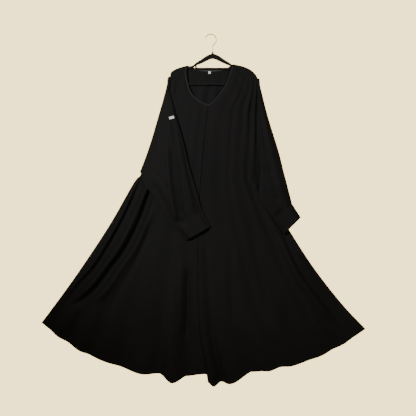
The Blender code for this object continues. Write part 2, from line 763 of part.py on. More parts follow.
def hanger_outlines():
    """The hanger's rim, the window above its tie bar and the wide window above its trouser bar."""
    left_end = LEFT_SIDE.at(0)[0] + ARM_END_INSET
    right_end = RIGHT_SIDE.at(0)[0] - ARM_END_INSET
    bar_top = TROUSER_BAR_Z + TROUSER_BAR_HEIGHT / 2
    bar_bottom = TROUSER_BAR_Z - TROUSER_BAR_HEIGHT / 2
    across = np.linspace(left_end, right_end, RIM_STEPS)
    rim = [(x, arch_z(x)) for x in across]
    rim += [(right_end + ARM_TIP_OUT, ARM_TIP_Z), (right_end, ARM_FOOT_Z)]
    rim += [(right_end - inset, bar_bottom + rise) for inset, rise in CORNER_CUTS]
    rim += [(left_end + inset, bar_bottom + rise) for inset, rise in reversed(CORNER_CUTS)]
    rim += [(left_end, ARM_FOOT_Z), (left_end - ARM_TIP_OUT, ARM_TIP_Z)]
    stub_left, stub_right = TIE_BAR_LEFT + TIE_STUB_WIDTH, TIE_BAR_RIGHT - TIE_STUB_WIDTH
    tie_bottom = TIE_BAR_TOP - TIE_BAR_HEIGHT
    inner_left, inner_right = left_end + WINDOW_INSET, right_end - WINDOW_INSET
    arch = [(x, under_arm_z(x)) for x in np.linspace(stub_left, stub_right, 11)]
    upper = [*arch, (stub_right, TIE_BAR_TOP), (stub_left, TIE_BAR_TOP)]
    lower = [(x, under_arm_z(x)) for x in np.linspace(inner_left, TIE_BAR_LEFT, 8)]
    lower += [(TIE_BAR_LEFT, tie_bottom), (TIE_BAR_RIGHT, tie_bottom)]
    lower += [(x, under_arm_z(x)) for x in np.linspace(TIE_BAR_RIGHT, inner_right, 8)]
    lower += [(inner_right, WINDOW_CORNER_Z), (inner_right - WINDOW_CORNER, bar_top)]
    lower += [(inner_left + WINDOW_CORNER, bar_top), (inner_left, WINDOW_CORNER_Z)]
    return rim, upper, lower


def round_bar(name, radius, top_radius, bottom, top, collection):
    bpy.ops.mesh.primitive_cone_add(
        vertices=CYLINDER_SIDES,
        radius1=radius * MM,
        radius2=top_radius * MM,
        depth=(top - bottom) * MM,
        location=(HANGER_X * MM, 0, (top + bottom) / 2 * MM),
    )
    obj = bpy.context.object
    obj.name = name
    for owner in list(obj.users_collection):
        owner.objects.unlink(obj)
    collection.objects.link(obj)
    obj.hide_render = True
    obj.display_type = "WIRE"
    return obj


def build_hanger(parts, cutters, look):
    curve = bpy.data.curves.new("hanger outline", "CURVE")
    curve.dimensions = "2D"
    curve.fill_mode = "BOTH"
    curve.extrude = (HANGER_THICK / 2 - HANGER_EDGE_ROUND) * MM
    curve.bevel_depth = HANGER_EDGE_ROUND * MM
    curve.bevel_resolution = 1
    curve.offset = -HANGER_EDGE_ROUND * MM
    for outline in hanger_outlines():
        flat_spline(curve, outline)
    flat = bpy.data.objects.new("hanger outline", curve)
    flat.rotation_euler = (math.radians(90), 0, 0)
    parts.objects.link(flat)
    graph = bpy.context.evaluated_depsgraph_get()
    graph.update()
    mesh = bpy.data.meshes.new_from_object(flat.evaluated_get(graph))
    form = bmesh.new()
    form.from_mesh(mesh)
    bmesh.ops.remove_doubles(form, verts=form.verts[:], dist=0.00001)
    form.to_mesh(mesh)
    form.free()
    mesh.materials.clear()
    hanger = add_object("hanger", mesh, parts, look)
    hanger.matrix_world = flat.matrix_world
    bpy.data.objects.remove(flat)
    hub = round_bar("hub", HUB_RADIUS, HUB_TOP_RADIUS, HUB_BOTTOM, HUB_TOP, cutters)
    bore_radius = WIRE_RADIUS + WIRE_CLEARANCE
    bore_ends = (WIRE_END - BORE_DEPTH_CLEARANCE, HUB_TOP + BORE_TOP_CLEARANCE)
    bore = round_bar("hook bore", bore_radius, bore_radius, *bore_ends, cutters)
    for tool, operation in ((hub, "UNION"), (bore, "DIFFERENCE")):
        cut = hanger.modifiers.new(tool.name, "BOOLEAN")
        cut.object = tool
        cut.operation = operation
    return hanger


def build_hook(parts, look):
    """A round wire: three quarters of a turn over the rod, then down into the hub."""
    reach = HOOK_RADIUS + WIRE_RADIUS
    points = []
    for degrees in range(HOOK_TIP_DEGREES, HOOK_TAIL_DEGREES - 1, -HOOK_STEP_DEGREES):
        angle = math.radians(degrees)
        points.append((HOOK_CENTRE_X + reach * math.cos(angle), -HOOK_RADIUS + reach * math.sin(angle)))
    points += [(HANGER_X + x, z) for x, z in HOOK_TAIL]
    curve = bpy.data.curves.new("hanger_hook", "CURVE")
    curve.dimensions = "3D"
    curve.bevel_depth = WIRE_RADIUS * MM
    curve.bevel_resolution = 2
    curve.use_fill_caps = True
    spline = curve.splines.new("POLY")
    spline.points.add(len(points) - 1)
    for target, (x, z) in zip(spline.points, points):
        target.co = (x * MM, 0, z * MM, 1)
    return add_object("hanger_hook", curve, parts, look)


def build_body(parts, cloth):
    centre_gap = CENTRE_GAP / 2
    left_edge = front_edge(NECK_LEFT, -centre_gap, FRONT_LEFT_FOLDS[-1])
    right_edge = front_edge(NECK_RIGHT, centre_gap, FRONT_RIGHT_FOLDS[0])
    right_top = lambda share: RIGHT_SHOULDER.at(1 - share)
    left_front = Panel("front", LEFT_SIDE.at, left_edge, LEFT_SHOULDER.at, FRONT_LEFT_FOLDS)
    right_front = Panel("front", right_edge, RIGHT_SIDE.at, right_top, FRONT_RIGHT_FOLDS)
    back = Panel("back", LEFT_SIDE.at, RIGHT_SIDE.at, back_top, BACK_FOLDS)
    return (
        sheet("front_left", left_front.rows(), WALL, cloth, parts),
        sheet("front_right", right_front.rows(), WALL, cloth, parts),
        sheet("back", back.rows(), WALL, cloth, parts),
    )


def build_sleeves(parts, cloth):
    left = Sleeve(LEFT_SIDE, OVERARM_LEFT, UNDERARM_LEFT, left_lift, left_half_gap, -1)
    right = Sleeve(RIGHT_SIDE, OVERARM_RIGHT, UNDERARM_RIGHT, right_lift, right_half_gap, 1)
    left_rings, right_rings = left_sleeve_rings(left), right_sleeve_rings(right)
    left_tube = sheet("sleeve_left", left_rings, WALL, cloth, parts, closed=True)
    sheet("sleeve_right", right_rings, WALL, cloth, parts, closed=True)
    sheet("cuff_left", cuff_rings(left_rings[-1], CUFF_END_LEFT), WALL, cloth, parts, closed=True)
    sheet("cuff_right", cuff_rings(right_rings[-1], CUFF_END_RIGHT), WALL, cloth, parts, closed=True)
    return left_tube


def neck_lines():
    """The edge of the V and the line one band's width outside it, from left shoulder to right."""
    edge, outer = [], []
    left, right = Outline(NECK_LEFT), Outline(NECK_RIGHT)
    for i in range(NECK_BAND_STEPS):
        share = mix(NECK_BAND_START, 1.0, i / NECK_BAND_STEPS)
        (x, z), (nx, nz) = left.at(share), left.normal(share)
        edge.append((x - nx * EDGE_INSET, z - nz * EDGE_INSET))
        outer.append((x - nx * NECK_BAND_WIDTH, z - nz * NECK_BAND_WIDTH))
    x, z = left.at(1)
    edge.append((x, z - EDGE_INSET * V_POINT_STRETCH))
    outer.append((x, z - NECK_BAND_WIDTH * V_POINT_STRETCH))
    for i in range(NECK_BAND_STEPS):
        share = mix(1.0, NECK_BAND_START, (i + 1) / NECK_BAND_STEPS)
        (x, z), (nx, nz) = right.at(share), right.normal(share)
        edge.append((x + nx * EDGE_INSET, z + nz * EDGE_INSET))
        outer.append((x + nx * NECK_BAND_WIDTH, z + nz * NECK_BAND_WIDTH))
    return edge, outer


def placket_lines():
    """The centre front edge and the line one placket's width to its left."""
    edge, outer = [], []
    bottom = hem_z(FRONT_LEFT_FOLDS[-1].hem_x) - FRONT_LEFT_FOLDS[-1].drop + PLACKET_HEM_CLEARANCE
    heights = np.linspace(PLACKET_TOP, bottom, PLACKET_STEPS)
    for z in heights:
        x = CENTRE.x_at(z)
        edge.append((x - CENTRE_GAP, float(z)))
        outer.append((x - PLACKET_WIDTH, float(z)))
    return edge, outer


def back_neck_lines():
    line = Outline(BACK_NECK)
    edge, lower = [], []
    for i in range(BACK_BAND_STEPS + 1):
        x, z = line.at(mix(*BACK_BAND_ENDS, i / BACK_BAND_STEPS))
        edge.append((x, z - EDGE_INSET))
        lower.append((x, z - BACK_BAND_WIDTH))
    return edge, lower


def label_lines(centre, size, tilt):
    """Two opposite edges of a small tilted rectangle."""
    along = (math.cos(math.radians(tilt)), math.sin(math.radians(tilt)))
    across = (-along[1], along[0])
    steps = (-size[0] / 2, 0, size[0] / 2)
    lines = []
    for half in (-size[1] / 2, size[1] / 2):
        x, z = centre[0] + across[0] * half, centre[1] + across[1] * half
        lines.append([(x + along[0] * step, z + along[1] * step) for step in steps])
    return lines


def build_trims(parts, fronts, back, left_sleeve, looks):
    front_tree = surface_of(fronts)
    trim("neck_band", neck_lines(), front_tree, TRIM_WALL, looks["trim"], parts)
    trim("front_placket", placket_lines(), front_tree, TRIM_WALL, looks["trim"], parts)
    facing, label, back_tree = looks["facing"], looks["label"], surface_of([back])
    band = trim("back_neck_band", back_neck_lines(), back_tree, TRIM_WALL, facing, parts, from_inside=True)
    over_band = surface_of([back, band])
    flat_label = label_lines(NECK_LABEL_CENTRE, NECK_LABEL_SIZE, 0)
    trim("neck_label", flat_label, over_band, LABEL_WALL, label, parts, from_inside=True, stiff=True)
    sleeve_label = label_lines(SLEEVE_LABEL_CENTRE, SLEEVE_LABEL_SIZE, SLEEVE_LABEL_TILT)
    trim("sleeve_label", sleeve_label, surface_of([left_sleeve]), LABEL_WALL, label, parts)


def main():
    for obj in list(bpy.data.objects):
        bpy.data.objects.remove(obj)
    parts = bpy.data.collections.new("abaya on a hanger")
    cutters = bpy.data.collections.new("cutters")
    bpy.context.scene.collection.children.link(parts)
    bpy.context.scene.collection.children.link(cutters)
    cloth = material("black crepe", CLOTH_BLACK)
    looks = {
        "trim": material("black binding", TRIM_BLACK),
        "facing": material("grey facing", FACING_GREY),
        "label": material("white label", LABEL_WHITE),
    }
    front_left, front_right, back = build_body(parts, cloth)
    left_sleeve = build_sleeves(parts, cloth)
    build_trims(parts, [front_left, front_right], back, left_sleeve, looks)
    build_hanger(parts, cutters, material("black flock", FLOCK_BLACK))
    build_hook(parts, material("hook steel", HOOK_STEEL))


main()
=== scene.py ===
"""Abaya cloak on a slim hanger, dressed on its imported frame.

Every named length of the cut is in millimetres and the meshes are made in metres, +Z up. The front faces -Y.
The origin is the inside of the hook's top. "Left" and "right" are those of someone who looks at the front.
The cloth follows the outlines, folds and stands of the part's own source, on a finer grid.
"""

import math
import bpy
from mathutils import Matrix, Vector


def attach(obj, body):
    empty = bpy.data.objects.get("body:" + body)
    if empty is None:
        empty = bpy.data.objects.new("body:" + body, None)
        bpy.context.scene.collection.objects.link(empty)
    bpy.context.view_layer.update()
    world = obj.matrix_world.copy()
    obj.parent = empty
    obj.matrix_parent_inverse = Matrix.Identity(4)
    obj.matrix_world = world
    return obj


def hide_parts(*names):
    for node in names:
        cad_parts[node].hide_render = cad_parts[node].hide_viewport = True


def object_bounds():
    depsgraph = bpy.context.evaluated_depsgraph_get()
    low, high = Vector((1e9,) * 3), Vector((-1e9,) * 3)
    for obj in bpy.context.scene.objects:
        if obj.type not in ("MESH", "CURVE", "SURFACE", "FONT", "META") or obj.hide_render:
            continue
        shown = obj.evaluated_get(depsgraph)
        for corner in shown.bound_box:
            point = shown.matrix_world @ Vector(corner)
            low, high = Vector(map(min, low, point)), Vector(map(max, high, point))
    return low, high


bl_info = {
    "name": "Abaya on a Hanger",
    "version": (1, 0, 0),
    "blender": (4, 5, 0),
    "location": "3D View > Sidebar > Abaya",
    "description": "Builds a black abaya cloak that hangs on a slim hanger",
    "category": "Add Mesh",
}

from collections import namedtuple

import bmesh
import bpy
import numpy as np
from bpy.props import FloatProperty, FloatVectorProperty, PointerProperty
from bpy.types import Operator, Panel, PropertyGroup
from mathutils import Vector
from mathutils.bvhtree import BVHTree

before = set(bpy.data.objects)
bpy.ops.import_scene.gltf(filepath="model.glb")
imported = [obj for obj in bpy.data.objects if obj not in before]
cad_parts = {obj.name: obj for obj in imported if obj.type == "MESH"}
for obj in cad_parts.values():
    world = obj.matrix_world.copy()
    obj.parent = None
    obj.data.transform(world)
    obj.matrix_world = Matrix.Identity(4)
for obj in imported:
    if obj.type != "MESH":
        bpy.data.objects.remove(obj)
CAD_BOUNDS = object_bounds()
BODY = "root"
MM = 0.001
TINY = 1e-9

# Cloth as the frame's solids have it
FRAME_WALL = 1.5
SEAM_GAP = 0.3
SEAM_Y = FRAME_WALL / 2 + SEAM_GAP / 2
CENTRE_GAP = 1.5
CENTRE_GAP_POWER = 4
TRIM_GAP = 0.25

# Levels of the panels, as shares of the way from shoulder to hem
UNDERARM_LEVEL = 0.40
V_LEVEL = 0.15
TOP_LEVELS = [0, 0.0018, 0.0035, 0.0055, 0.0085, 0.012]
PANEL_ROWS = 230
PANEL_COLUMNS = 116
TOP_FADE = 3.0
HEM_FADE = 3.0
HEM_TURN = 12.0
HEM_ROWS = (1.12, 1.0, 0.9, 0.5, 0)
HEM_STITCH_ROW = -4
PANEL_LENGTH = 1490.0

# Outlines seen from the front, as (x, z)
SHOULDER_LEFT = [(-202, -202), (-190, -180), (-171, -166), (-148, -157), (-112, -147)]
SHOULDER_RIGHT = [(224, -211), (212, -190), (195, -173), (176, -161), (143, -149), (104, -141)]
NECK_LEFT = [(-112, -147), (-116, -183), (-108, -234), (-87, -285), (-43, -321), (-13, -333)]
NECK_RIGHT = [(104, -141), (92, -175), (70, -234), (38, -283), (1, -325), (-13, -333)]
BACK_NECK = [(-112, -147), (-88, -153), (-66, -159.5), (-5, -165.5), (66, -158.5), (86, -151), (104, -141)]
CENTRE_FRONT = [(-13, -333), (-37, -545), (-55, -787), (-62, -997)]
CENTRE_FRONT += [(-60, -1263), (-50, -1430), (-21, -1612), (-12, -1660)]
ARM_FOLD_LEFT = [(-202, -202), (-217, -273), (-252, -397), (-295, -540), (-344, -671)]
SIDE_LEFT = [(-371, -711), (-486, -911), (-638, -1140), (-762, -1311), (-807, -1370)]
ARM_CREASE_RIGHT = [(224, -211), (231, -311), (233, -454), (233, -597), (233, -692)]
SIDE_RIGHT = [(262, -740), (367, -921), (490, -1111), (624, -1282), (735, -1400)]

# Hem: a shallow arc that lifts to each side
HEM_MIDDLE = (-40, -1612)
HEM_LIFT_LEFT = 242.0
HEM_LIFT_RIGHT = 212.0
HEM_POWER = 2.7

# Folds of each panel, from one side seam to the next. hem_x is where the fold's line meets the hem, bodice
# and hem are how far it stands out there (troughs below zero), and drop is how far it hangs below the arc.
Fold = namedtuple("Fold", "name hem_x bodice hem drop")
FRONT_LEFT_FOLDS = [
    Fold("side seam", -807, 0, 0, 0),
    Fold("edge trough", -771, 0, -7, 0),
    Fold("edge roll", -728, 0, 6, 2),
    Fold("long trough", -681, 0, -10, 0),
    Fold("long roll", -624, 0, 8, 4),
    Fold("shallow trough", -576, 0, -5, 0),
    Fold("wide roll", -509, 0, 6, 0),
    Fold("wide trough", -433, -1, -6, 0),
    Fold("knee roll", -328, 0, 9, 12),
    Fold("knee trough", -243, -1, -10, 2),
    Fold("deep lobe", -183, 1, 22, 36),
    Fold("placket trough", -100, -1, -14, 2),
    Fold("centre edge", -21, 0, 5, -6),
]
FRONT_RIGHT_FOLDS = [
    Fold("centre edge", -21, 0, 5, 34),
    Fold("centre lobe", 5, 0, 20, 50),
    Fold("notch", 43, 0, -8, 32),
    Fold("second lobe", 81, 1, 17, 40),
    Fold("middle trough", 200, -1, -8, -8),
    Fold("middle roll", 271, 1, 6, 0),
    Fold("narrow trough", 324, -1, -5, -7),
    Fold("narrow roll", 381, 1, 6, 0),
    Fold("chest trough", 462, -2, -6, 0),
    Fold("chest roll", 519, 1.5, 8, 0),
    Fold("broad trough", 576, -5, -12, 0),
    Fold("broad roll", 628, 3, 7, 0),
    Fold("sleeve trough", 676, -3, -6, 0),
    Fold("side seam", 735, 0, 0, 0),
]
BACK_FOLDS = [
    Fold("side seam", -807, 0, 0, 0),
    Fold("edge trough", -750, 0, -7, 0),
    Fold("edge roll", -668, 0, 6, 3),
    Fold("outer trough", -590, -1, -8, 0),
    Fold("outer roll", -492, 2, 9, 8),
    Fold("shoulder trough", -405, -2, -8, 0),
    Fold("shoulder roll", -300, 2, 12, 14),
    Fold("blade trough", -205, -3, -10, 4),
    Fold("blade roll", -122, 2, 16, 24),
    Fold("spine trough", -30, -2, -9, 8),
    Fold("spine roll", 62, 2, 16, 28),
    Fold("far blade trough", 150, -3, -10, 4),
    Fold("far blade roll", 246, 2, 11, 12),
    Fold("far shoulder trough", 338, -2, -9, 0),
    Fold("far shoulder roll", 430, 2, 10, 6),
    Fold("far outer trough", 520, -1, -8, 0),
    Fold("far outer roll", 598, 1, 7, 2),
    Fold("far edge trough", 676, 0, -6, 0),
    Fold("side seam", 735, 0, 0, 0),
]
FOLD_START = 0.42
FOLD_GROWTH = 2.4
BODICE_FOLD_LEVEL = 0.10
TROUGH_SHARPNESS = 0.8
FOLD_WANDER = 0.006
WANDER_POWER = 4
SWAY_TURNS = ((6.0, 9.0), (17.0, 5.0))
QUICK_SWAY = 0.6

# Creases that the gathered cloth has besides its folds: depth is out of the panel, troughs below zero
Crease = namedtuple("Crease", "name width depth path")
FRONT_CREASES = [
    Crease("outer skirt ridge", 15, 15, [
        (-330, -640), (-425, -862), (-505, -1003), (-574, -1110), (-664, -1210), (-748, -1310)
    ]),
    Crease("outer skirt valley", 12, -28, [
        (-262, -560), (-328, -708), (-397, -855), (-475, -996), (-543, -1104), (-631, -1202),
        (-712, -1300)
    ]),
    Crease("skirt ridge", 15, 19, [
        (-268, -640), (-362, -868), (-432, -1006), (-502, -1104), (-580, -1206), (-680, -1300)
    ]),
    Crease("inner skirt valley", 14, -32, [
        (-216, -600), (-284, -747), (-328, -879), (-392, -1006), (-455, -1094), (-524, -1191),
        (-602, -1255), (-704, -1310)
    ]),
    Crease("inner skirt ridge", 18, 13, [
        (-268, -800), (-300, -886), (-362, -1018), (-425, -1110), (-494, -1212), (-600, -1300)
    ]),
    Crease("faint skirt trough", 13, -5, [
        (-282, -860), (-309, -966), (-380, -1120), (-445, -1230), (-498, -1360)
    ]),
    Crease("right skirt ridge", 17, 11, [(318, -930), (395, -1120), (484, -1246), (590, -1385)]),
    Crease("right skirt valley", 16, -20, [
        (340, -905), (380, -1005), (441, -1130), (526, -1238), (633, -1366)
    ]),
    Crease("outer right ridge", 14, 11, [(384, -985), (452, -1082), (530, -1186), (640, -1318)]),
    Crease("outer right valley", 11, -12, [(410, -1040), (470, -1128), (548, -1226), (650, -1345)]),
    Crease("middle valley", 12, -9, [(-104, -1090), (-109, -1182), (-109, -1320), (-118, -1450)]),
    Crease("middle ridge", 14, 4, [(-134, -1040), (-140, -1182), (-142, -1320), (-150, -1450)]),
    Crease("right middle valley", 16, -4, [(90, -960), (95, -1049), (97, -1230), (104, -1406)]),
    Crease("chest fold", 13, -2.2, [(152, -240), (157, -400), (160, -560), (158, -740)]),
    Crease("chest roll", 12, 2.0, [(173, -250), (176, -420), (178, -600), (184, -770)]),
    Crease("side fold", 12, -2.4, [(190, -250), (194, -420), (196, -600), (206, -800)]),
    Crease("sleeve roll", 9, 3.6, [(209, -260), (208, -450), (208, -640), (220, -830)]),
    Crease("sleeve valley", 7, -5, [(222, -250), (220, -360), (219, -470), (218, -560)]),
    Crease("shoulder pull", 9, -3, [(120, -160), (140, -178), (160, -200), (176, -228)]),
    Crease("lower shoulder pull", 11, -2.5, [(108, -205), (134, -232), (160, -270), (180, -330)]),
    Crease("left yoke pull", 10, -2.5, [(-122, -178), (-142, -205), (-160, -245), (-172, -300)]),
    Crease("right thigh valley", 18, -3, [(176, -850), (205, -1010), (246, -1180), (296, -1390)]),
]
BACK_CREASES = [
    Crease("spine valley", 16, -4, [(-6, -260), (-12, -520), (-24, -840), (-30, -1180)]),
    Crease("left blade fold", 14, -4, [(-112, -250), (-124, -480), (-150, -760), (-196, -1080)]),
    Crease("left blade roll", 14, 3.5, [(-84, -250), (-92, -520), (-104, -800), (-128, -1060)]),
    Crease("right blade fold", 14, -4, [(124, -250), (132, -500), (150, -760), (196, -1090)]),
    Crease("right blade roll", 13, 3.5, [(96, -250), (102, -500), (112, -800), (140, -1080)]),
    Crease("left shoulder pull", 10, -3, [(-108, -170), (-132, -196), (-156, -236), (-176, -290)]),
    Crease("right shoulder pull", 10, -3, [(112, -168), (138, -192), (164, -232), (188, -296)]),
    Crease("left hip trough", 20, -7, [(-318, -760), (-402, -950), (-500, -1120), (-610, -1270)]),
    Crease("inner left trough", 18, -5, [(-246, -800), (-310, -1000), (-390, -1190), (-470, -1350)]),
    Crease("right hip trough", 20, -7, [(262, -830), (344, -990), (440, -1150), (540, -1290)]),
    Crease("inner right trough", 18, -5, [(190, -840), (250, -1020), (316, -1200), (390, -1370)]),
    Crease("middle valley", 18, -5, [(60, -900), (70, -1080), (84, -1260), (96, -1460)]),
]
CREASE_END = 0.2
CREASE_SEAM_FADE = 0.045
SOFT_WAVE = 1.3
SOFT_WAVE_START = 0.1
SOFT_WAVE_SETTLE = 3
SOFT_WAVE_LENGTHS = ((210, 37), (145, -320))

# How far front and back stand from the middle plane, at the middle of the panel, by height
Stand = namedtuple("Stand", "z front back")
STANDS = [
    Stand(-1650, 38, 25),
    Stand(-1250, 33, 20),
    Stand(-850, 28, 15),
    Stand(-500, 22, 12),
    Stand(-330, 17, 10),
    Stand(-220, 10, 8.5),
    Stand(-140, 7, 7.5),
]
LENS_POWER = 2.4
ARMHOLE_STAND = 5.0
ARMHOLE_CLOSING = 90.0
CAP_RISE = 4.4
CAP_LENGTH = 2.0
CAP_SLOPE = 0.35
LEAST_STAND = SEAM_Y + 0.1
ARMHOLE_OPENING_LEVELS = 0.012
ARMHOLE_CLOSING_LEVELS = 0.075

# Sleeves: the overarm and underarm lines as (x, z), from the armhole to the cuff seam
OVERARM_LEFT = [(-207, -230), (-181, -343), (-134, -506), (-101, -642), (-71, -740), (-45, -837)]
UNDERARM_LEFT = [(-317, -712), (-265, -772), (-226, -835), (-181, -902)]
OVERARM_RIGHT = [(238, -264), (272, -397), (324, -568), (352, -683), (383, -806)]
UNDERARM_RIGHT = [(226, -768), (250, -817), (295, -869)]
CUFF_END_LEFT = [(-3, -912), (-114, -975)]
CUFF_END_RIGHT = [(424, -871), (347, -947)]
SLEEVE_ACROSS = 66
SLEEVE_RINGS = 92
SLEEVE_LIFT = 4.8
SLEEVE_EDGE_LIFT = 9.0
SLEEVE_EDGE_POWER = 1.5
SLEEVE_LIFT_GROWTH = 2.0
RIGHT_SLEEVE_LIFT = 6.3
CUFF_LIFT = 7.3
SLEEVE_HALF_GAP = 7.0
SLEEVE_END_GAP = 1.7
FOLD_HALF_GAP = 4.0
FOLD_END_SHARE = 0.12
SIDE_BULGE_SHARE = 0.25
CUFF_BULGE_SHARE = 0.2
CUFF_HALF_GAP = 7.5
CUFF_RINGS = 18
MOUTH_STRAIGHT = 2.0
MOUTH_POWER = 2
MOUTH_CLEARANCE = 0.35
MOUTH_TIP_CLEARANCE = -1.2
MOUTH_TIP_SHARE = 0.1
CUFF_SEAM = 0.5
TURN_STEPS = 12
TURN_DEGREES = 165
SLEEVE_FOLD_DEPTH = 6.0
SLEEVE_FOLD_WIDTH = 0.14
SLEEVE_FOLD_LINE = (0.10, 0.72)
SLEEVE_FOLD_START = 0.2
UNDERARM_SHORT = 0.965
TWIST_TOP = -610.0
TWIST_BOTTOM = -690.0
CREASE_RISE = 11.0
CREASE_END_RISE = 0.15
CREASE_TOP_SHARE = 0.2
CREASE_FOOT_SHARE = 0.12
CREASE_RINGS = 18
NOSE_ANGLES = (45, 90, 135)

# How fast a sleeve settles from one shape into the next, per length of the sleeve or of the cuff
LEFT_SETTLE = 5
NEAR_SETTLE = 6
SLOW_SETTLE = 3
END_SETTLE = 12
CUFF_GAP_SETTLE = 2
CUFF_NEAR_SETTLE = 1.5

# The crease beside the right sleeve: each step's way out over the body where the crease is full (over) or
# gone (plain), and its share of the crease's rise
Step = namedtuple("Step", "plain over rise")
CREASE_STEPS = [
    Step(0.3, 0.3, 0.0),
    Step(2.0, 2.4, 0.04),
    Step(3.2, 2.0, 0.32),
    Step(4.4, -0.8, 0.58),
    Step(5.8, -1.2, 0.80),
    Step(7.6, 3.0, 0.97),
]

# Creases of the sleeves, on their outer walls, as (x, z) in the front view
LEFT_SLEEVE_CREASES = [
    Crease("long valley", 9, -4.0, [
        (-187, -360), (-176, -454), (-167, -549), (-156, -668), (-142, -787), (-128, -892), (-120, -960)
    ]),
    Crease("valley's foot", 18, -4.0, [(-168, -590), (-158, -668), (-144, -787), (-130, -880), (-120, -960)]),
    Crease("valley's lip", 14, 9.0, [(-208, -480), (-202, -600), (-195, -700), (-181, -800), (-160, -930)]),
    Crease("overarm roll", 13, 4.0, [
        (-196, -300), (-152, -480), (-126, -630), (-104, -740), (-84, -850), (-70, -920)
    ]),
    Crease("overarm valley", 9, -2.5, [(-176, -370), (-140, -500), (-112, -640), (-84, -750), (-58, -838)]),
    Crease("elbow drag", 14, -3.0, [(-300, -640), (-262, -664), (-224, -706), (-196, -760)]),
    Crease("lower elbow drag", 12, -2.5, [(-290, -708), (-256, -740), (-228, -782), (-210, -826)]),
    Crease("upper drag", 14, 2.5, [(-262, -480), (-250, -540), (-248, -610), (-244, -690)]),
]
RIGHT_SLEEVE_CREASES = [
    Crease("long roll", 10, 2.6, [(246, -330), (268, -470), (296, -600), (322, -710), (350, -822)]),
    Crease("long valley", 10, -2.8, [(238, -380), (254, -500), (276, -620), (300, -730), (330, -838)]),
    Crease("elbow drag", 12, -2.4, [(244, -640), (270, -668), (300, -690), (334, -700)]),
    Crease("lower drag", 10, -2.0, [(240, -740), (268, -762), (300, -778), (340, -782)]),
]
SLEEVE_SEAM_FADE = 0.06
LEFT_SLEEVE_LENGTH = 560.0
RIGHT_SLEEVE_LENGTH = 600.0
GATHERS = 9
GATHER_DEPTH = 4.4
GATHER_MIDDLE = 0.7
GATHER_SPREAD = 0.2
GATHER_ELSEWHERE = 0.15
GATHER_LENGTH = 46.0
GATHER_AT_SEAM = 0.35
GATHER_SEAM_LENGTH = 9.0
GATHER_EDGE_FADE = 0.08
GATHER_UNEVEN = (2.1, 7)
GATHER_RIPPLE = (0.4, 31)

# Trims
PLACKET_WIDTH = 24.0
PLACKET_TOP = -343.0
PLACKET_HEM_CLEARANCE = 5.0
PLACKET_STEPS = 260
NECK_BAND_WIDTH = 8.0
NECK_BAND_START = 0.06
NECK_BAND_STEPS = 60
V_POINT_STRETCH = 1.25
BACK_BAND_WIDTH = 9.0
BACK_BAND_ENDS = (0.14, 0.86)
BACK_BAND_STEPS = 50
EDGE_INSET = 1.6
RAY_START = -400.0
TRIM_COLUMNS = 7
STRIP_WALL_SHARE = 0.7
LABEL_WALL_SHARE = 0.4
LABEL_RIB_PITCH = 0.8
NECK_LABEL_CENTRE = (-7.0, -179.0)
NECK_LABEL_SIZE = (11.5, 11.5)
SLEEVE_LABEL_CENTRE = (-186.0, -399.0)
SLEEVE_LABEL_SIZE = (24.0, 12.0)
SLEEVE_LABEL_TILT = 15.0
LABEL_STEPS = 9

# Stitching
STITCH_THICK = 0.55
STITCH_DIP = 0.3
STITCH_INSET = 2.2
LABEL_STITCH_INSET = 1.1
THREAD_LIFT = 0.2
STRIP_THREAD_LIFT = 0.3

# A stitch's sections: how far along it, how far out of the cloth, and the share of its thickness
STITCH_SECTIONS = ((-1, -STITCH_DIP, 0.5), (-0.45, 0, 1), (0.45, 0, 1), (1, -STITCH_DIP, 0.5))

# The wire hook: a round over the rod, an opposite bend, then straight down into the hub
HANGER_X = 8.0
WIRE_RADIUS = 1.9
HOOK_RADIUS = 24.5
HOOK_REACH = HOOK_RADIUS + WIRE_RADIUS
HOOK_CENTRE_X = -1.0
HOOK_TIP_DEGREES = 164.0
HOOK_BEND_RADIUS = 20.0
WIRE_END = -91.0
WIRE_SIDES = 20
HOOK_STEPS = 44
BEND_STEPS = 12
TIP_BACK_DEGREES = 12
TIP_RINGS = ((0.75, 0.86), (0.65, 0.6), (0.3, 0.3))

# How far two faces may turn and still be shaded as one, in degrees
CLOTH_SMOOTH = 50
WIRE_SMOOTH = 60

# The stage, in metres: what the camera and the lamps aim at, the photograph's frame, the floor and the lamps
STAGE_MIDDLE = Vector((-0.0143, 0, -0.825))
LIGHT_AIM_RAISE = Vector((0, 0, 0.2))
PHOTO_PIXELS = 416
METRES_PER_PIXEL = 0.00476
FRAME_WIDTH = PHOTO_PIXELS * METRES_PER_PIXEL
FLOOR_RADIUS = 1.1
FLOOR_SIDES = 96
FLOOR_BELOW = 0.50
FLOOR_SOLID_RADIUS = 0.25
FLOOR_FADED_RADIUS = 1.0
POOL_ANGLE = 40
POOL_BLEND = 0.5
BACK_LIGHT_SHARE = 2.5
Lamp = namedtuple("Lamp", "name place size")
KEY_LIGHT = Lamp("key light", (-1.3, -2.5, 0.4), 0.9)
FILL_LIGHT = Lamp("fill light", (1.9, -2.1, 0.3), 1.8)
BACK_LIGHT = Lamp("back light", (0.2, 2.4, 0.8), 1.6)

# The fields of a piece's cut before it was sewn and hung, in metres: flat width, flat length and flat area
Cut = namedtuple("Cut", "width length area")


def tint(**settings):
    """A colour that a user may change."""
    return FloatVectorProperty(subtype="COLOR", size=3, min=0, max=1, **settings)


def length(**settings):
    """A length in metres that a user may change."""
    return FloatProperty(unit="LENGTH", **settings)


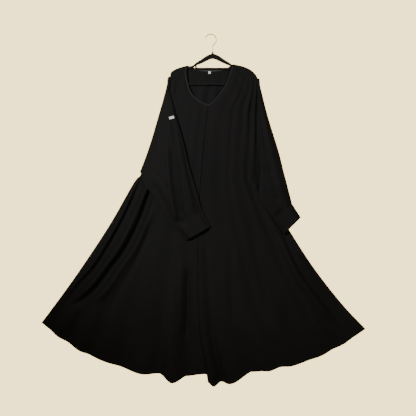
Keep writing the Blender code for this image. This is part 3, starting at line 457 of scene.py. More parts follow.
class AbayaCloth(PropertyGroup):
    """The cloak's cloth."""

    colour: tint(name="Cloth", description="Colour of the crepe", default=(0.0060, 0.0056, 0.0058))
    worn: tint(
        name="Raised yarn", description="Colour where the yarn catches light",
        default=(0.0105, 0.0100, 0.0102),
    )
    roughness: FloatProperty(
        name="Roughness", description="How dull the crepe is", subtype="FACTOR", min=0, max=1, default=0.82
    )
    sheen: FloatProperty(
        name="Sheen", description="Soft light along turned edges", subtype="FACTOR",
        min=0, max=1, default=0.02,
    )
    wall: length(
        name="Thickness", description="Thickness of the cloth", min=0.0005, max=0.003, default=0.0012
    )
    yarn: length(
        name="Yarn pitch", description="Distance from yarn to yarn", min=0.0002, max=0.002, default=0.0006
    )
    crinkle: length(
        name="Crinkle", description="Height of the crepe's grain", min=0, max=0.001, default=0.00022
    )
    folds: FloatProperty(
        name="Folds", description="Depth of the folds against the frame's", min=0.2, max=1.2, default=1.0
    )


class AbayaTrims(PropertyGroup):
    """Bindings, labels and thread."""

    binding: tint(name="Binding", description="Colour of the bindings", default=(0.007, 0.0065, 0.007))
    facing: tint(name="Facing", description="Colour of the back neck facing", default=(0.05, 0.05, 0.048))
    label: tint(name="Label", description="Colour of the bare labels", default=(0.92, 0.91, 0.87))
    thread: tint(name="Thread", description="Colour of the stitching", default=(0.022, 0.021, 0.022))
    stitch: length(name="Stitch", description="Length of a stitch", min=0.001, max=0.008, default=0.0027)
    pitch: length(
        name="Stitch pitch", description="Distance from stitch to stitch", min=0.001, max=0.01, default=0.0038
    )


class AbayaHanger(PropertyGroup):
    """The hanger's finishes."""

    flock: tint(name="Flock", description="Colour of the flocking", default=(0.008, 0.008, 0.0085))
    steel: tint(name="Steel", description="Colour of the hook", default=(0.44, 0.43, 0.41))


class AbayaStage(PropertyGroup):
    """Floor, light and camera."""

    backdrop: tint(name="Backdrop", description="Colour all round", default=(0.93, 0.74, 0.35))
    seen: FloatProperty(
        name="Backdrop light", description="How bright the backdrop looks", min=0, max=10, default=3.62
    )
    ambient: FloatProperty(
        name="Ambient light", description="How much light comes from all round", min=0, max=10, default=0.10
    )
    light: FloatProperty(
        name="Key light", description="Power of the main light in watts", min=0, max=2000, default=305.0
    )
    fill: FloatProperty(
        name="Fill light", description="Power of each softer light in watts", min=0, max=1000, default=14.0
    )
    distance: length(
        name="Camera distance", description="From the hanger's plane to the camera",
        min=1, max=10, default=3.3,
    )


def ease(value):
    """0 below 0, 1 above 1, and a soft step between."""
    value = np.clip(value, 0.0, 1.0)
    return value * value * (3 - 2 * value)


def mix(first, last, share):
    return first + (last - first) * share


def bulge(across, edge):
    """0 at both edges of a flattened tube and 1 between them, eased over edge as a share of its width."""
    return ease(across / edge) * ease((1 - across) / edge)


def joined(x, z):
    return np.stack(np.broadcast_arrays(x, z), -1)


class Outline:
    """A smooth line through a few points, read by its share of length or by height."""

    STEPS = 12
    LOOK = 0.01

    def __init__(self, points):
        points = np.array(points, float)
        ends = np.vstack([2 * points[0] - points[1], points, 2 * points[-1] - points[-2]])
        t = np.linspace(0, 1, self.STEPS, endpoint=False)[:, None]
        pieces = []
        for a, b, c, d in zip(ends, ends[1:], ends[2:], ends[3:]):
            bend = (2 * a - 5 * b + 4 * c - d) * t**2 + (3 * b - a - 3 * c + d) * t**3
            pieces.append(b + 0.5 * ((c - a) * t + bend))
        self.trace(np.vstack([*pieces, points[-1:]]))

    def trace(self, points):
        self.points = points
        steps = np.linalg.norm(np.diff(points, axis=0), axis=1)
        self.length = steps.sum()
        self.shares = np.concatenate([[0], np.cumsum(steps)]) / self.length

    @classmethod
    def chain(cls, *lines):
        """One line that runs through the points of several."""
        made = cls.__new__(cls)
        made.trace(np.vstack([lines[0].points, *[line.points[1:] for line in lines[1:]]]))
        return made

    def reversed(self):
        made = Outline.__new__(Outline)
        made.trace(self.points[::-1])
        return made

    def at(self, share):
        return np.stack([np.interp(share, self.shares, column) for column in self.points.T], -1)

    def x_at(self, z):
        return np.interp(-z, -self.points[:, 1], self.points[:, 0])

    def z_at(self, x):
        order = np.argsort(self.points[:, 0])
        return np.interp(x, self.points[order, 0], self.points[order, 1])

    def normal(self, share):
        """The unit direction to the left of the line as it runs."""
        step = self.at(np.minimum(1, share + self.LOOK)) - self.at(np.maximum(0, share - self.LOOK))
        step /= np.linalg.norm(step, axis=-1, keepdims=True)
        return joined(-step[..., 1], step[..., 0])


def armhole_stand(level):
    """How far each panel's edge stands from the middle plane along the armhole, by level."""
    opening = ease(level / ARMHOLE_OPENING_LEVELS)
    closing = ease((UNDERARM_LEVEL - level) / ARMHOLE_CLOSING_LEVELS)
    return SEAM_Y + (ARMHOLE_STAND - SEAM_Y) * np.minimum(opening, closing)


def fold_half_gap(level):
    """Half of the hollow in the sleeve where it turns over the front."""
    share = level / UNDERARM_LEVEL
    full = ease(share / FOLD_END_SHARE) * ease((1 - share) / FOLD_END_SHARE)
    return mix(SLEEVE_END_GAP, FOLD_HALF_GAP, full)


def turn_room(level):
    """How far the left sleeve's turn reaches past the body's edge."""
    return MOUTH_STRAIGHT + armhole_stand(level) + SLEEVE_LIFT / 2 + fold_half_gap(level)


class Side:
    """One side of the body: the armhole line down to the underarm, then the side seam down to the hem."""

    SAMPLES = 321

    def __init__(self, arm, seam, inset):
        self.arm = Outline(arm)
        self.inset = inset
        corner_x, corner_z = self.arm.at(1)
        self.corner_z = corner_z
        self.seam = Outline([(corner_x + inset(UNDERARM_LEVEL), corner_z), *seam])
        self.sampled = self.at(np.linspace(0, 1, self.SAMPLES))

    def at(self, level):
        level = np.asarray(level, float)
        arm = self.arm.at(level / UNDERARM_LEVEL)
        arm[..., 0] += self.inset(level)
        seam = self.seam.at((level - UNDERARM_LEVEL) / (1 - UNDERARM_LEVEL))
        return np.where((level < UNDERARM_LEVEL)[..., None], arm, seam)

    def x_at(self, z):
        return np.interp(-z, -self.sampled[:, 1], self.sampled[:, 0])


def no_inset(level):
    return 0.0 * level


LEFT_SIDE = Side(ARM_FOLD_LEFT, SIDE_LEFT, turn_room)
RIGHT_SIDE = Side(ARM_CREASE_RIGHT, SIDE_RIGHT, no_inset)
CENTRE = Outline(CENTRE_FRONT)
LEFT_SHOULDER = Outline([LEFT_SIDE.at(0), *SHOULDER_LEFT[1:]])
RIGHT_SHOULDER = Outline([RIGHT_SIDE.at(0), *SHOULDER_RIGHT[1:]])
BACK_TOP = Outline.chain(LEFT_SHOULDER, Outline(BACK_NECK), RIGHT_SHOULDER.reversed())


def seam_z(x):
    """Height of the shoulder line at x, straight across the neck."""
    left, right = SHOULDER_LEFT[-1], SHOULDER_RIGHT[-1]
    across = mix(left[1], right[1], (x - left[0]) / (right[0] - left[0]))
    past_right = np.where(x >= right[0], RIGHT_SHOULDER.z_at(x), across)
    return np.where(x <= left[0], LEFT_SHOULDER.z_at(x), past_right)


def hem_z(x):
    """Height of the plain hem arc."""
    middle_x, middle_z = HEM_MIDDLE
    is_left = x < middle_x
    half = np.where(is_left, middle_x - LEFT_SIDE.at(1)[0], RIGHT_SIDE.at(1)[0] - middle_x)
    lift = np.where(is_left, HEM_LIFT_LEFT, HEM_LIFT_RIGHT)
    return middle_z + lift * (np.abs(x - middle_x) / half) ** HEM_POWER


def stand_at(x, z, face):
    """How far the smooth panel stands from the middle plane. face is front or back."""
    left, right = LEFT_SIDE.x_at(z), RIGHT_SIDE.x_at(z)
    across = np.clip((x - left) / (right - left), 0.0, 1.0)
    corner = np.where(across < 0.5, LEFT_SIDE.corner_z, RIGHT_SIDE.corner_z)
    edge = mix(SEAM_Y, ARMHOLE_STAND, ease((z - corner) / ARMHOLE_CLOSING))
    full = np.interp(z, [stand.z for stand in STANDS], [getattr(stand, face) for stand in STANDS])
    lens = 1 - np.abs(1 - 2 * across) ** LENS_POWER
    below = np.maximum(0.0, seam_z(x) - z)
    cap = SEAM_Y + CAP_RISE * (1 - np.exp(-below / CAP_LENGTH)) + CAP_SLOPE * below
    return np.minimum(mix(edge, full, lens), cap)


def fold_value(folds, share, field, sharpness=1.0):
    """A fold's named value at a share of the hem. It eases from fold to fold, and troughs are narrower."""
    lines = [fold.hem_x for fold in folds]
    values = np.array([getattr(fold, field) for fold in folds], float)
    place = np.interp(mix(lines[0], lines[-1], share), lines, np.arange(len(lines)))
    index = np.minimum(place.astype(int), len(lines) - 2)
    first, last, step = values[index], values[index + 1], ease(place - index)
    step = np.where(last > first, step**sharpness, 1 - (1 - step) ** sharpness)
    return mix(first, last, step)


def crease_rise(creases, x, z):
    """How far the creases push the cloth out at each point, fading towards both ends of each crease."""
    rise = np.zeros(np.shape(x))
    for crease in creases:
        line = Outline(crease.path)
        points = line.points
        nearest = np.full(np.shape(x), np.inf)
        along = np.zeros(np.shape(x))
        for (ax, az), (bx, bz), start, end in zip(points, points[1:], line.shares, line.shares[1:]):
            length = (bx - ax) ** 2 + (bz - az) ** 2
            share = np.clip(((x - ax) * (bx - ax) + (z - az) * (bz - az)) / length, 0, 1)
            distance = np.hypot(x - ax - share * (bx - ax), z - az - share * (bz - az))
            closer = distance < nearest
            nearest = np.where(closer, distance, nearest)
            along = np.where(closer, mix(start, end, share), along)
        fade = ease(along / CREASE_END) * ease((1 - along) / CREASE_END)
        rise += crease.depth * fade * np.exp(-((nearest / crease.width) ** 2))
    return rise


class ClothPanel:
    """A panel between two edge lines, a top line and the hem, with its folds."""

    def __init__(self, face, first_edge, last_edge, top, folds, creases):
        self.face = face
        self.first_edge = first_edge
        self.last_edge = last_edge
        self.top = top
        self.folds = folds
        self.creases = creases

    def flat(self, share, level):
        """The panel's points in the front view."""
        first, last = self.first_edge(level), self.last_edge(level)
        ends = self.top(np.array([0.0, 1.0]))
        top, top_line = self.top(share), mix(ends[0], ends[1], share[..., None])
        hem_first, hem_last = self.first_edge(np.array(1.0)), self.last_edge(np.array(1.0))
        hem_x = mix(hem_first[0], hem_last[0], share)
        drop = fold_value(self.folds, share, "drop")
        hem_off = hem_z(hem_x) - drop - mix(hem_first[1], hem_last[1], share)
        points = mix(first, last, share[..., None])
        near_top, near_hem = (1 - level) ** TOP_FADE, level**HEM_FADE
        points = points + near_top[..., None] * (top - top_line)
        points[..., 1] += near_hem * hem_off
        return points

    def grid(self, shares, levels, depth):
        """Points of the panel as rows from the top to the hem. depth scales its folds."""
        level, share = np.meshgrid(levels, shares, indexing="ij")
        flat = self.flat(share, level)
        x, z = flat[..., 0], flat[..., 1]
        growth = np.maximum(0.0, (level - FOLD_START) / (1 - FOLD_START)) ** FOLD_GROWTH
        (down, aside), (quick_down, quick_aside) = SWAY_TURNS
        sway = np.sin(down * level + aside * share)
        sway = sway + QUICK_SWAY * np.sin(quick_down * level - quick_aside * share)
        led = np.clip(share + FOLD_WANDER * sway * np.sin(math.pi * share) * (1 - level**WANDER_POWER), 0, 1)
        rise = fold_value(self.folds, led, "hem", TROUGH_SHARPNESS) * growth
        rise += fold_value(self.folds, led, "bodice") * ease(level / BODICE_FOLD_LEVEL) * (1 - growth)
        seam = self.seam_fade(share)
        rise += crease_rise(self.creases, x, z) * seam
        slant, cross = (np.sin(z / down + x / aside) for down, aside in SOFT_WAVE_LENGTHS)
        rise += SOFT_WAVE * seam * ease((level - SOFT_WAVE_START) * SOFT_WAVE_SETTLE) * slant * cross
        stand = stand_at(x, z, self.face)
        folded = np.maximum(np.minimum(stand, LEAST_STAND), stand + depth * rise)
        if self.face == "back":
            at_seam = (share == 0) | (share == 1)
            folded = np.where(at_seam, stand, folded)
        side = -1 if self.face == "front" else 1
        return np.stack([x, side * folded, z], -1)

    def seam_fade(self, share):
        """0 at the side seams, where two panels meet, and 1 past them. The centre front is no such seam."""
        fade = np.ones(np.shape(share))
        if self.folds[0].name == "side seam":
            fade = fade * ease(share / CREASE_SEAM_FADE)
        if self.folds[-1].name == "side seam":
            fade = fade * ease((1 - share) / CREASE_SEAM_FADE)
        return fade


def front_edge(neck, side_gap, hem_fold):
    """The neckline down to the V, then the centre front down to this panel's own hem."""
    line = Outline(neck)
    top_z = neck[-1][1]
    bottom_z = hem_z(np.array(hem_fold.hem_x)) - hem_fold.drop

    def at(level):
        level = np.asarray(level, float)
        neck_part = line.at(level / V_LEVEL)
        z = mix(top_z, bottom_z, (level - V_LEVEL) / (1 - V_LEVEL))
        made = np.where((level < V_LEVEL)[..., None], neck_part, joined(CENTRE.x_at(z), z))
        made[..., 0] += side_gap * np.minimum(1.0, level / V_LEVEL) ** CENTRE_GAP_POWER
        return made

    return at


def right_top(share):
    return RIGHT_SHOULDER.at(1 - share)


def front_left_panel():
    edge = front_edge(NECK_LEFT, -CENTRE_GAP / 2, FRONT_LEFT_FOLDS[-1])
    return ClothPanel("front", LEFT_SIDE.at, edge, LEFT_SHOULDER.at, FRONT_LEFT_FOLDS, FRONT_CREASES)


def front_right_panel():
    edge = front_edge(NECK_RIGHT, CENTRE_GAP / 2, FRONT_RIGHT_FOLDS[0])
    return ClothPanel("front", edge, RIGHT_SIDE.at, right_top, FRONT_RIGHT_FOLDS, FRONT_CREASES)


def back_panel():
    return ClothPanel("back", LEFT_SIDE.at, RIGHT_SIDE.at, BACK_TOP.at, BACK_FOLDS, BACK_CREASES)


def panel_levels():
    """Rows of a panel: close at the shoulder, even down the cloth, then the turned and stitched hem."""
    hem = [1 - part * HEM_TURN / PANEL_LENGTH for part in HEM_ROWS]
    even = np.linspace(TOP_LEVELS[-1], hem[0], PANEL_ROWS)[1:-1]
    return np.array([*TOP_LEVELS, *even, *hem])


def surface_normals(grid):
    """Unit normals of a grid of points, out of the side that faces -Y where it faces the front."""
    across = np.gradient(grid, axis=1)
    down = np.gradient(grid, axis=0)
    normals = np.cross(across, down)
    normals /= np.maximum(np.linalg.norm(normals, axis=-1, keepdims=True), TINY)
    return normals


def measured(grid, closed):
    """Width and length of the cloth at each point of a grid, in metres, for its weave."""
    ring = np.concatenate([grid, grid[:, :1]], axis=1) if closed else grid
    widths = np.linalg.norm(np.diff(ring, axis=1), axis=-1)
    across = np.concatenate([np.zeros((len(ring), 1)), np.cumsum(widths, axis=1)], 1)
    across -= across[:, -1:] / 2
    steps = np.linalg.norm(np.diff(ring, axis=0), axis=-1).mean(axis=1)
    down = np.concatenate([[0], np.cumsum(steps)])[:, None]
    return np.stack(np.broadcast_arrays(across, down), -1) * MM


def deselect():
    for obj in bpy.context.selected_objects:
        obj.select_set(False)


def make_active(obj):
    deselect()
    obj.select_set(True)
    bpy.context.view_layer.objects.active = obj


def cloth_sheet(name, grid, wall, look, closed=False):
    """A wall of cloth through a grid of points, with the weave's own UV map. closed joins each row's ends."""
    rows, columns = grid.shape[:2]
    mesh = bpy.data.meshes.new(name)
    index = np.arange(rows * columns).reshape(rows, columns)
    follow = np.roll(index, -1, axis=1) if closed else index[:, 1:]
    start = index if closed else index[:, :-1]
    faces = np.stack([start[:-1], start[1:], follow[1:], follow[:-1]], -1).reshape(-1, 4)
    mesh.from_pydata((grid.reshape(-1, 3) * MM).tolist(), [], faces.tolist())
    weave = measured(grid, closed)
    wide = weave.shape[1]
    spot = np.arange(rows * wide).reshape(rows, wide)
    corners = np.stack([spot[:-1, :-1], spot[1:, :-1], spot[1:, 1:], spot[:-1, 1:]], -1).reshape(-1)
    layer = mesh.uv_layers.new(name="Weave")
    layer.data.foreach_set("uv", weave.reshape(-1, 2)[corners].reshape(-1))
    obj = bpy.data.objects.new(name, mesh)
    bpy.context.scene.collection.objects.link(obj)
    mesh.materials.append(look)
    shell = obj.modifiers.new("Cloth", "SOLIDIFY")
    shell.thickness = wall
    shell.offset = 0
    make_active(obj)
    bpy.ops.object.modifier_apply(modifier="Cloth")
    bpy.ops.object.shade_smooth_by_angle(angle=math.radians(CLOTH_SMOOTH))
    return obj


def dress(obj, node, slot, rests_on):
    """Puts a finished cloth piece in its node's place on the body and hides the node's own part."""
    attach(obj, BODY)
    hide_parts(node)


def stitch_row(name, line, outwards, look, settings):
    """Stitches along a line of points, each a short thread that dips into the cloth at both ends."""
    lengths = np.concatenate([[0], np.cumsum(np.linalg.norm(np.diff(line, axis=0), axis=1))])
    pitch, half = settings.pitch / MM, settings.stitch / MM / 2
    middles = np.arange(pitch, lengths[-1] - pitch / 2, pitch)

    def read(values, at):
        return np.stack([np.interp(at, lengths, column) for column in values.T], -1)

    out = read(outwards, middles)
    out /= np.linalg.norm(out, axis=1, keepdims=True)
    sections = []
    for reach, lift, thick in STITCH_SECTIONS:
        centre = read(line, middles + reach * half) + out * lift
        along = read(line, middles + half) - read(line, middles - half)
        side = np.cross(along, out)
        side *= STITCH_THICK / 2 * thick / np.linalg.norm(side, axis=1, keepdims=True)
        up = out * STITCH_THICK / 2 * thick
        sections.append(np.stack([centre + side, centre + up, centre - side, centre - up], 1))
    points = np.stack(sections, 1)
    count = len(sections)
    faces = [(0, 1, 2, 3), tuple(4 * (count - 1) + i for i in (3, 2, 1, 0))]
    for step in range(count - 1):
        for i in range(4):
            j = (i + 1) % 4
            faces.append((4 * step + i, 4 * step + 4 + i, 4 * step + 4 + j, 4 * step + j))
    all_faces = [[4 * count * number + i for i in face] for number in range(len(middles)) for face in faces]
    mesh = bpy.data.meshes.new(name)
    mesh.from_pydata((points.reshape(-1, 3) * MM).tolist(), [], all_faces)
    mesh.materials.append(look)
    obj = bpy.data.objects.new(name, mesh)
    bpy.context.scene.collection.objects.link(obj)
    make_active(obj)
    bpy.ops.object.mode_set(mode="EDIT")
    bpy.ops.mesh.select_all(action="SELECT")
    bpy.ops.mesh.normals_make_consistent(inside=False)
    bpy.ops.object.mode_set(mode="OBJECT")
    mesh.shade_smooth()
    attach(obj, BODY)
    return obj


def thread_off(wall, lift):
    """How far a thread's middle stands from the middle of its cloth. lift is a share of its thickness."""
    return wall / MM / 2 + STITCH_THICK * lift


def row_stitches(name, grid, row, side, look, settings, wall):
    """Stitches along one row of a cloth grid, on the side that faces side along Y."""
    normals = surface_normals(grid)[row]
    normals *= np.where(normals[:, 1:2] * side < 0, -1, 1)
    line = grid[row] + normals * thread_off(wall, THREAD_LIFT)
    return stitch_row(name, line[1:-1], normals[1:-1], look, settings)


def surface_of(objects):
    """One tree of the finished faces of some pieces, for laying trims on them."""
    points, faces = [], []
    for obj in objects:
        start = len(points)
        points += [vertex.co.copy() for vertex in obj.data.vertices]
        faces += [[start + index for index in face.vertices] for face in obj.data.polygons]
    return BVHTree.FromPolygons(points, faces)


def lay_on(tree, x, z, lift, start_y):
    """The point that far in front of the foremost face here or just beside it, going back along Y."""
    met = []
    for aside in (0, -CENTRE_GAP, CENTRE_GAP):
        origin = Vector(((x + aside) * MM, start_y * MM, z * MM))
        hit, _, _, _ = tree.ray_cast(origin, Vector((0, 1, 0)))
        if hit is not None:
            met.append(hit.y / MM)
    return (x, min(met) - lift, z)


def trim_grid(lines, columns, tree, wall, from_inside=False, stiff=False):
    """A strip's grid on a panel, between two lines of the front view. A stiff one stays flat."""
    lift = TRIM_GAP + wall / MM / 2
    start_y = 0.0 if from_inside else RAY_START
    first, last = (np.array(line, float) for line in lines)
    flat = mix(first[:, None], last[:, None], np.linspace(0, 1, columns)[None, :, None])
    grid = np.array([[lay_on(tree, x, z, lift, start_y) for x, z in row] for row in flat])
    if stiff:
        grid[..., 1] = grid[..., 1].min()
    return grid


class Sleeve:
    """A flattened tube from the armhole to the cuff seam, with an outer and an inner wall."""

    def __init__(self, side, overarm, underarm, outwards):
        self.across = np.linspace(0, 1, SLEEVE_ACROSS + 1)
        self.levels = UNDERARM_LEVEL * UNDERARM_SHORT * self.across
        self.mouth = side.at(self.levels)
        self.stands = np.maximum(SLEEVE_END_GAP, stand_at(self.mouth[:, 0], self.mouth[:, 1], "front"))
        self.outwards = outwards
        self.starts = self.mouth + [outwards * MOUTH_STRAIGHT, 0]
        self.overarm = Outline([self.starts[0], *overarm])
        self.underarm = Outline([self.starts[-1], *underarm])

    def clear_x(self):
        """The mouth's own edge, a seam's gap from the body, and tucked into it at the mouth's two ends."""
        tip = 1 - ease(np.minimum(self.across, 1 - self.across) / MOUTH_TIP_SHARE)
        return self.mouth[:, 0] + self.outwards * (MOUTH_CLEARANCE + MOUTH_TIP_CLEARANCE * tip)

    def flat(self, along):
        """Rows of (x, z) for each share of the sleeve's length."""
        upper, lower = self.overarm.at(along)[:, None], self.underarm.at(along)[:, None]
        across = self.across[None, :, None]
        line = mix(self.starts[0], self.starts[-1], self.across[:, None])
        near_mouth = ((1 - along) ** MOUTH_POWER)[:, None, None]
        return mix(upper, lower, across) + near_mouth * (self.starts - line)[None]


def with_noses(outer, inner):
    """Rings out of an outer and an inner wall, with a round edge where they meet at both sides."""
    rings = [outer]
    for end, before in ((-1, -2), (0, 1)):
        middle = (outer[:, end] + inner[:, end]) / 2
        arm = outer[:, end] - middle
        out = outer[:, end] - outer[:, before]
        out /= np.linalg.norm(out, axis=1, keepdims=True)
        out *= np.linalg.norm(arm, axis=1, keepdims=True)
        nose = []
        for degrees in NOSE_ANGLES:
            angle = math.radians(degrees)
            nose.append(middle + math.cos(angle) * arm + math.sin(angle) * out)
        nose = np.stack(nose, 1)
        rings += [nose, inner[:, ::-1]] if end == -1 else [nose[:, ::-1]]
    return np.concatenate(rings, axis=1)


def gathers(along, across, length):
    """Small even waves where the sleeve is drawn into its cuff."""
    from_seam = (1 - along) * length
    fade = mix(GATHER_AT_SEAM, 1.0, ease(from_seam / GATHER_SEAM_LENGTH))
    fade = fade * np.exp(-((from_seam / GATHER_LENGTH) ** 2))
    (uneven, uneven_turns), (ripple, ripple_turns) = GATHER_UNEVEN, GATHER_RIPPLE
    wave = np.sin(2 * math.pi * GATHERS * across + uneven * np.sin(uneven_turns * across))
    wave = wave + ripple * np.sin(ripple_turns * across)
    drawn = mix(GATHER_ELSEWHERE, 1.0, np.exp(-(((across - GATHER_MIDDLE) / GATHER_SPREAD) ** 2)))
    return GATHER_DEPTH * fade * drawn * wave * bulge(across, GATHER_EDGE_FADE)


def left_sleeve_walls(sleeve, depth):
    """A short straight mouth, the turn over the body's edge, then the sleeve across the front."""
    levels, stands = sleeve.levels[None], sleeve.stands[None]
    angles = np.radians(np.concatenate([[0], np.linspace(0, TURN_DEGREES, TURN_STEPS)]))[:, None]
    start_x = np.vstack([sleeve.clear_x(), *[sleeve.starts[:, 0]] * TURN_STEPS])
    gap, tight = fold_half_gap(levels), SLEEVE_LIFT / 2
    wide = stands + tight + gap
    z = np.broadcast_to(sleeve.mouth[:, 1], start_x.shape)
    turn_outer = np.stack([start_x - wide * np.sin(angles), -tight - gap + wide * np.cos(angles), z], -1)
    turn_inner = np.stack([start_x - tight * np.sin(angles), -stands - tight + tight * np.cos(angles), z], -1)
    along = np.linspace(0, 1, SLEEVE_RINGS + 1)
    flat = sleeve.flat(along)
    along, across = along[:, None], sleeve.across[None]
    proud = SLEEVE_EDGE_LIFT * np.sin(math.pi * along) * (1 - across) ** SLEEVE_EDGE_POWER
    lift = SLEEVE_LIFT + proud + SLEEVE_LIFT_GROWTH * ease(along * SLOW_SETTLE)
    near = -(stand_at(flat[..., 0], flat[..., 1], "front") + lift)
    near = mix(-stands - SLEEVE_LIFT, near, ease(along * NEAR_SETTLE))
    body = mix(SLEEVE_END_GAP, SLEEVE_HALF_GAP, bulge(across, SIDE_BULGE_SHARE))
    off_line = (across - mix(*SLEEVE_FOLD_LINE, along)) / SLEEVE_FOLD_WIDTH
    trough = SLEEVE_FOLD_DEPTH / 2 * ease((along - SLEEVE_FOLD_START) * SLOW_SETTLE) * np.exp(-(off_line**2))
    open_gap = np.maximum(SLEEVE_END_GAP, body - trough)
    half_gap = mix(fold_half_gap(levels), open_gap, ease(along * LEFT_SETTLE))
    rise = crease_rise(LEFT_SLEEVE_CREASES, flat[..., 0], flat[..., 1]) * bulge(across, SLEEVE_SEAM_FADE)
    rise = rise * ease(along * LEFT_SETTLE) * ease((1 - along) * END_SETTLE)
    rise = rise + gathers(along, across, LEFT_SLEEVE_LENGTH)
    outer = np.dstack([flat[..., 0], near - 2 * half_gap - depth * rise, flat[..., 1]])
    inner = np.dstack([flat[..., 0], near, flat[..., 1]])
    return np.concatenate([turn_outer, outer]), np.concatenate([turn_inner, inner])


def right_sleeve_walls(sleeve, depth):
    """The crease that rolls out of the front panel, then the sleeve hanging at the side."""
    stands, across = sleeve.stands[None], sleeve.across[None]
    full = ease(across / CREASE_TOP_SHARE) * ease((1 - across) / CREASE_FOOT_SHARE)
    along = np.concatenate([np.zeros(CREASE_RINGS), np.linspace(0, 1, SLEEVE_RINGS + 1)[1:]])
    flat = sleeve.flat(along)
    x, z = flat[..., 0], flat[..., 1]
    along = along[:, None]
    behind = ease((z - TWIST_BOTTOM) / (TWIST_TOP - TWIST_BOTTOM))
    on_body = -(stand_at(x, z, "front") + RIGHT_SLEEVE_LIFT)
    near = mix(on_body, stands, behind)
    half_gap = mix(SLEEVE_END_GAP, SLEEVE_HALF_GAP, bulge(across, SIDE_BULGE_SHARE))
    far_open = -stands - CREASE_RISE * mix(CREASE_END_RISE, 1.0, full)
    plain_far = mix(near - 2 * half_gap, far_open, behind)
    rise = crease_rise(RIGHT_SLEEVE_CREASES, x, z) * bulge(across, SLEEVE_SEAM_FADE)
    rise = rise * ease(along * NEAR_SETTLE) * ease((1 - along) * END_SETTLE)
    rise = rise + gathers(along, across, RIGHT_SLEEVE_LENGTH)
    far = plain_far - depth * rise
    outer, inner = np.dstack([x, far, z]), np.dstack([x, near, z])
    steps = Outline([(step.plain, step.over, step.rise * CREASE_RISE) for step in CREASE_STEPS])
    plain, over, share = steps.at(np.linspace(0, 1, CREASE_RINGS))[:, :, None].transpose(1, 0, 2)
    base = (sleeve.clear_x() - SEAM_GAP)[None]
    outer[:CREASE_RINGS, :, 0] = base + mix(plain, over, full)
    inner[:CREASE_RINGS, :, 0] = base + plain
    outer[:CREASE_RINGS, :, 1] = mix(-stands, plain_far[:CREASE_RINGS], share / CREASE_RISE)
    inner[:CREASE_RINGS, :, 1] = np.broadcast_to(stands, (CREASE_RINGS, stands.shape[1]))
    return outer, inner


def cuff_walls(outer_end, inner_end, end_line):
    """A straight ring that carries on from the sleeve's last ring."""
    across = np.linspace(0, 1, SLEEVE_ACROSS + 1)
    ends = mix(np.array(end_line[0], float), np.array(end_line[1], float), across[:, None])
    start = outer_end[:, [0, 2]]
    length = np.linalg.norm(ends - start, axis=1)[None]
    along = np.linspace(0, 1, CUFF_RINGS + 1)[:, None]
    share = mix(CUFF_SEAM / length, 1.0, along)
    flat = mix(start[None], ends[None], share[..., None])
    seam_gap = (inner_end[:, 1] - outer_end[:, 1])[None] / 2
    full_gap = mix(SLEEVE_END_GAP, CUFF_HALF_GAP, bulge(across, CUFF_BULGE_SHARE))[None]
    gap = mix(seam_gap, full_gap, ease(along * CUFF_GAP_SETTLE))
    on_body = -stand_at(flat[..., 0], flat[..., 1], "front") - CUFF_LIFT
    near = mix(inner_end[:, 1][None], on_body, ease(along * CUFF_NEAR_SETTLE))
    outer = np.dstack([flat[..., 0], near - 2 * gap, flat[..., 1]])
    inner = np.dstack([flat[..., 0], near, flat[..., 1]])
    return outer, inner


def ring_row(grid, row):
    """One ring of a tube, closed and with its outward normals."""
    ring = np.vstack([grid[row], grid[row][:1]])
    centre = grid[row].mean(axis=0)
    down = grid[min(row + 1, len(grid) - 1)] - grid[max(row - 1, 0)]
    down = np.vstack([down, down[:1]])
    around = np.gradient(ring, axis=0)
    around[0] = around[-1] = ring[1] - ring[-2]
    normals = np.cross(around, down)
    normals /= np.maximum(np.linalg.norm(normals, axis=1, keepdims=True), TINY)
    if (normals * (ring - centre)).sum() < 0:
        normals = -normals
    return ring, normals


def ring_stitches(name, grid, row, look, settings, wall):
    ring, normals = ring_row(grid, row)
    return stitch_row(name, ring + normals * thread_off(wall, THREAD_LIFT), normals, look, settings)


class Link:
    """An output of a node that takes part in Python sums. Each sum adds its Math node."""

    def __init__(self, recipe, socket):
        self.recipe = recipe
        self.socket = socket

    def join(self, operation, first, second=None):
        inputs = {0: first} if second is None else {0: first, 1: second}
        return self.recipe.add("ShaderNodeMath", {"operation": operation}, inputs)

    def __add__(self, other):
        return self.join("ADD", self, other)

    def __sub__(self, other):
        return self.join("SUBTRACT", self, other)

    def __mul__(self, other):
        return self.join("MULTIPLY", self, other)

    __radd__ = __add__
    __rmul__ = __mul__

    def sine(self):
        return self.join("SINE", self)


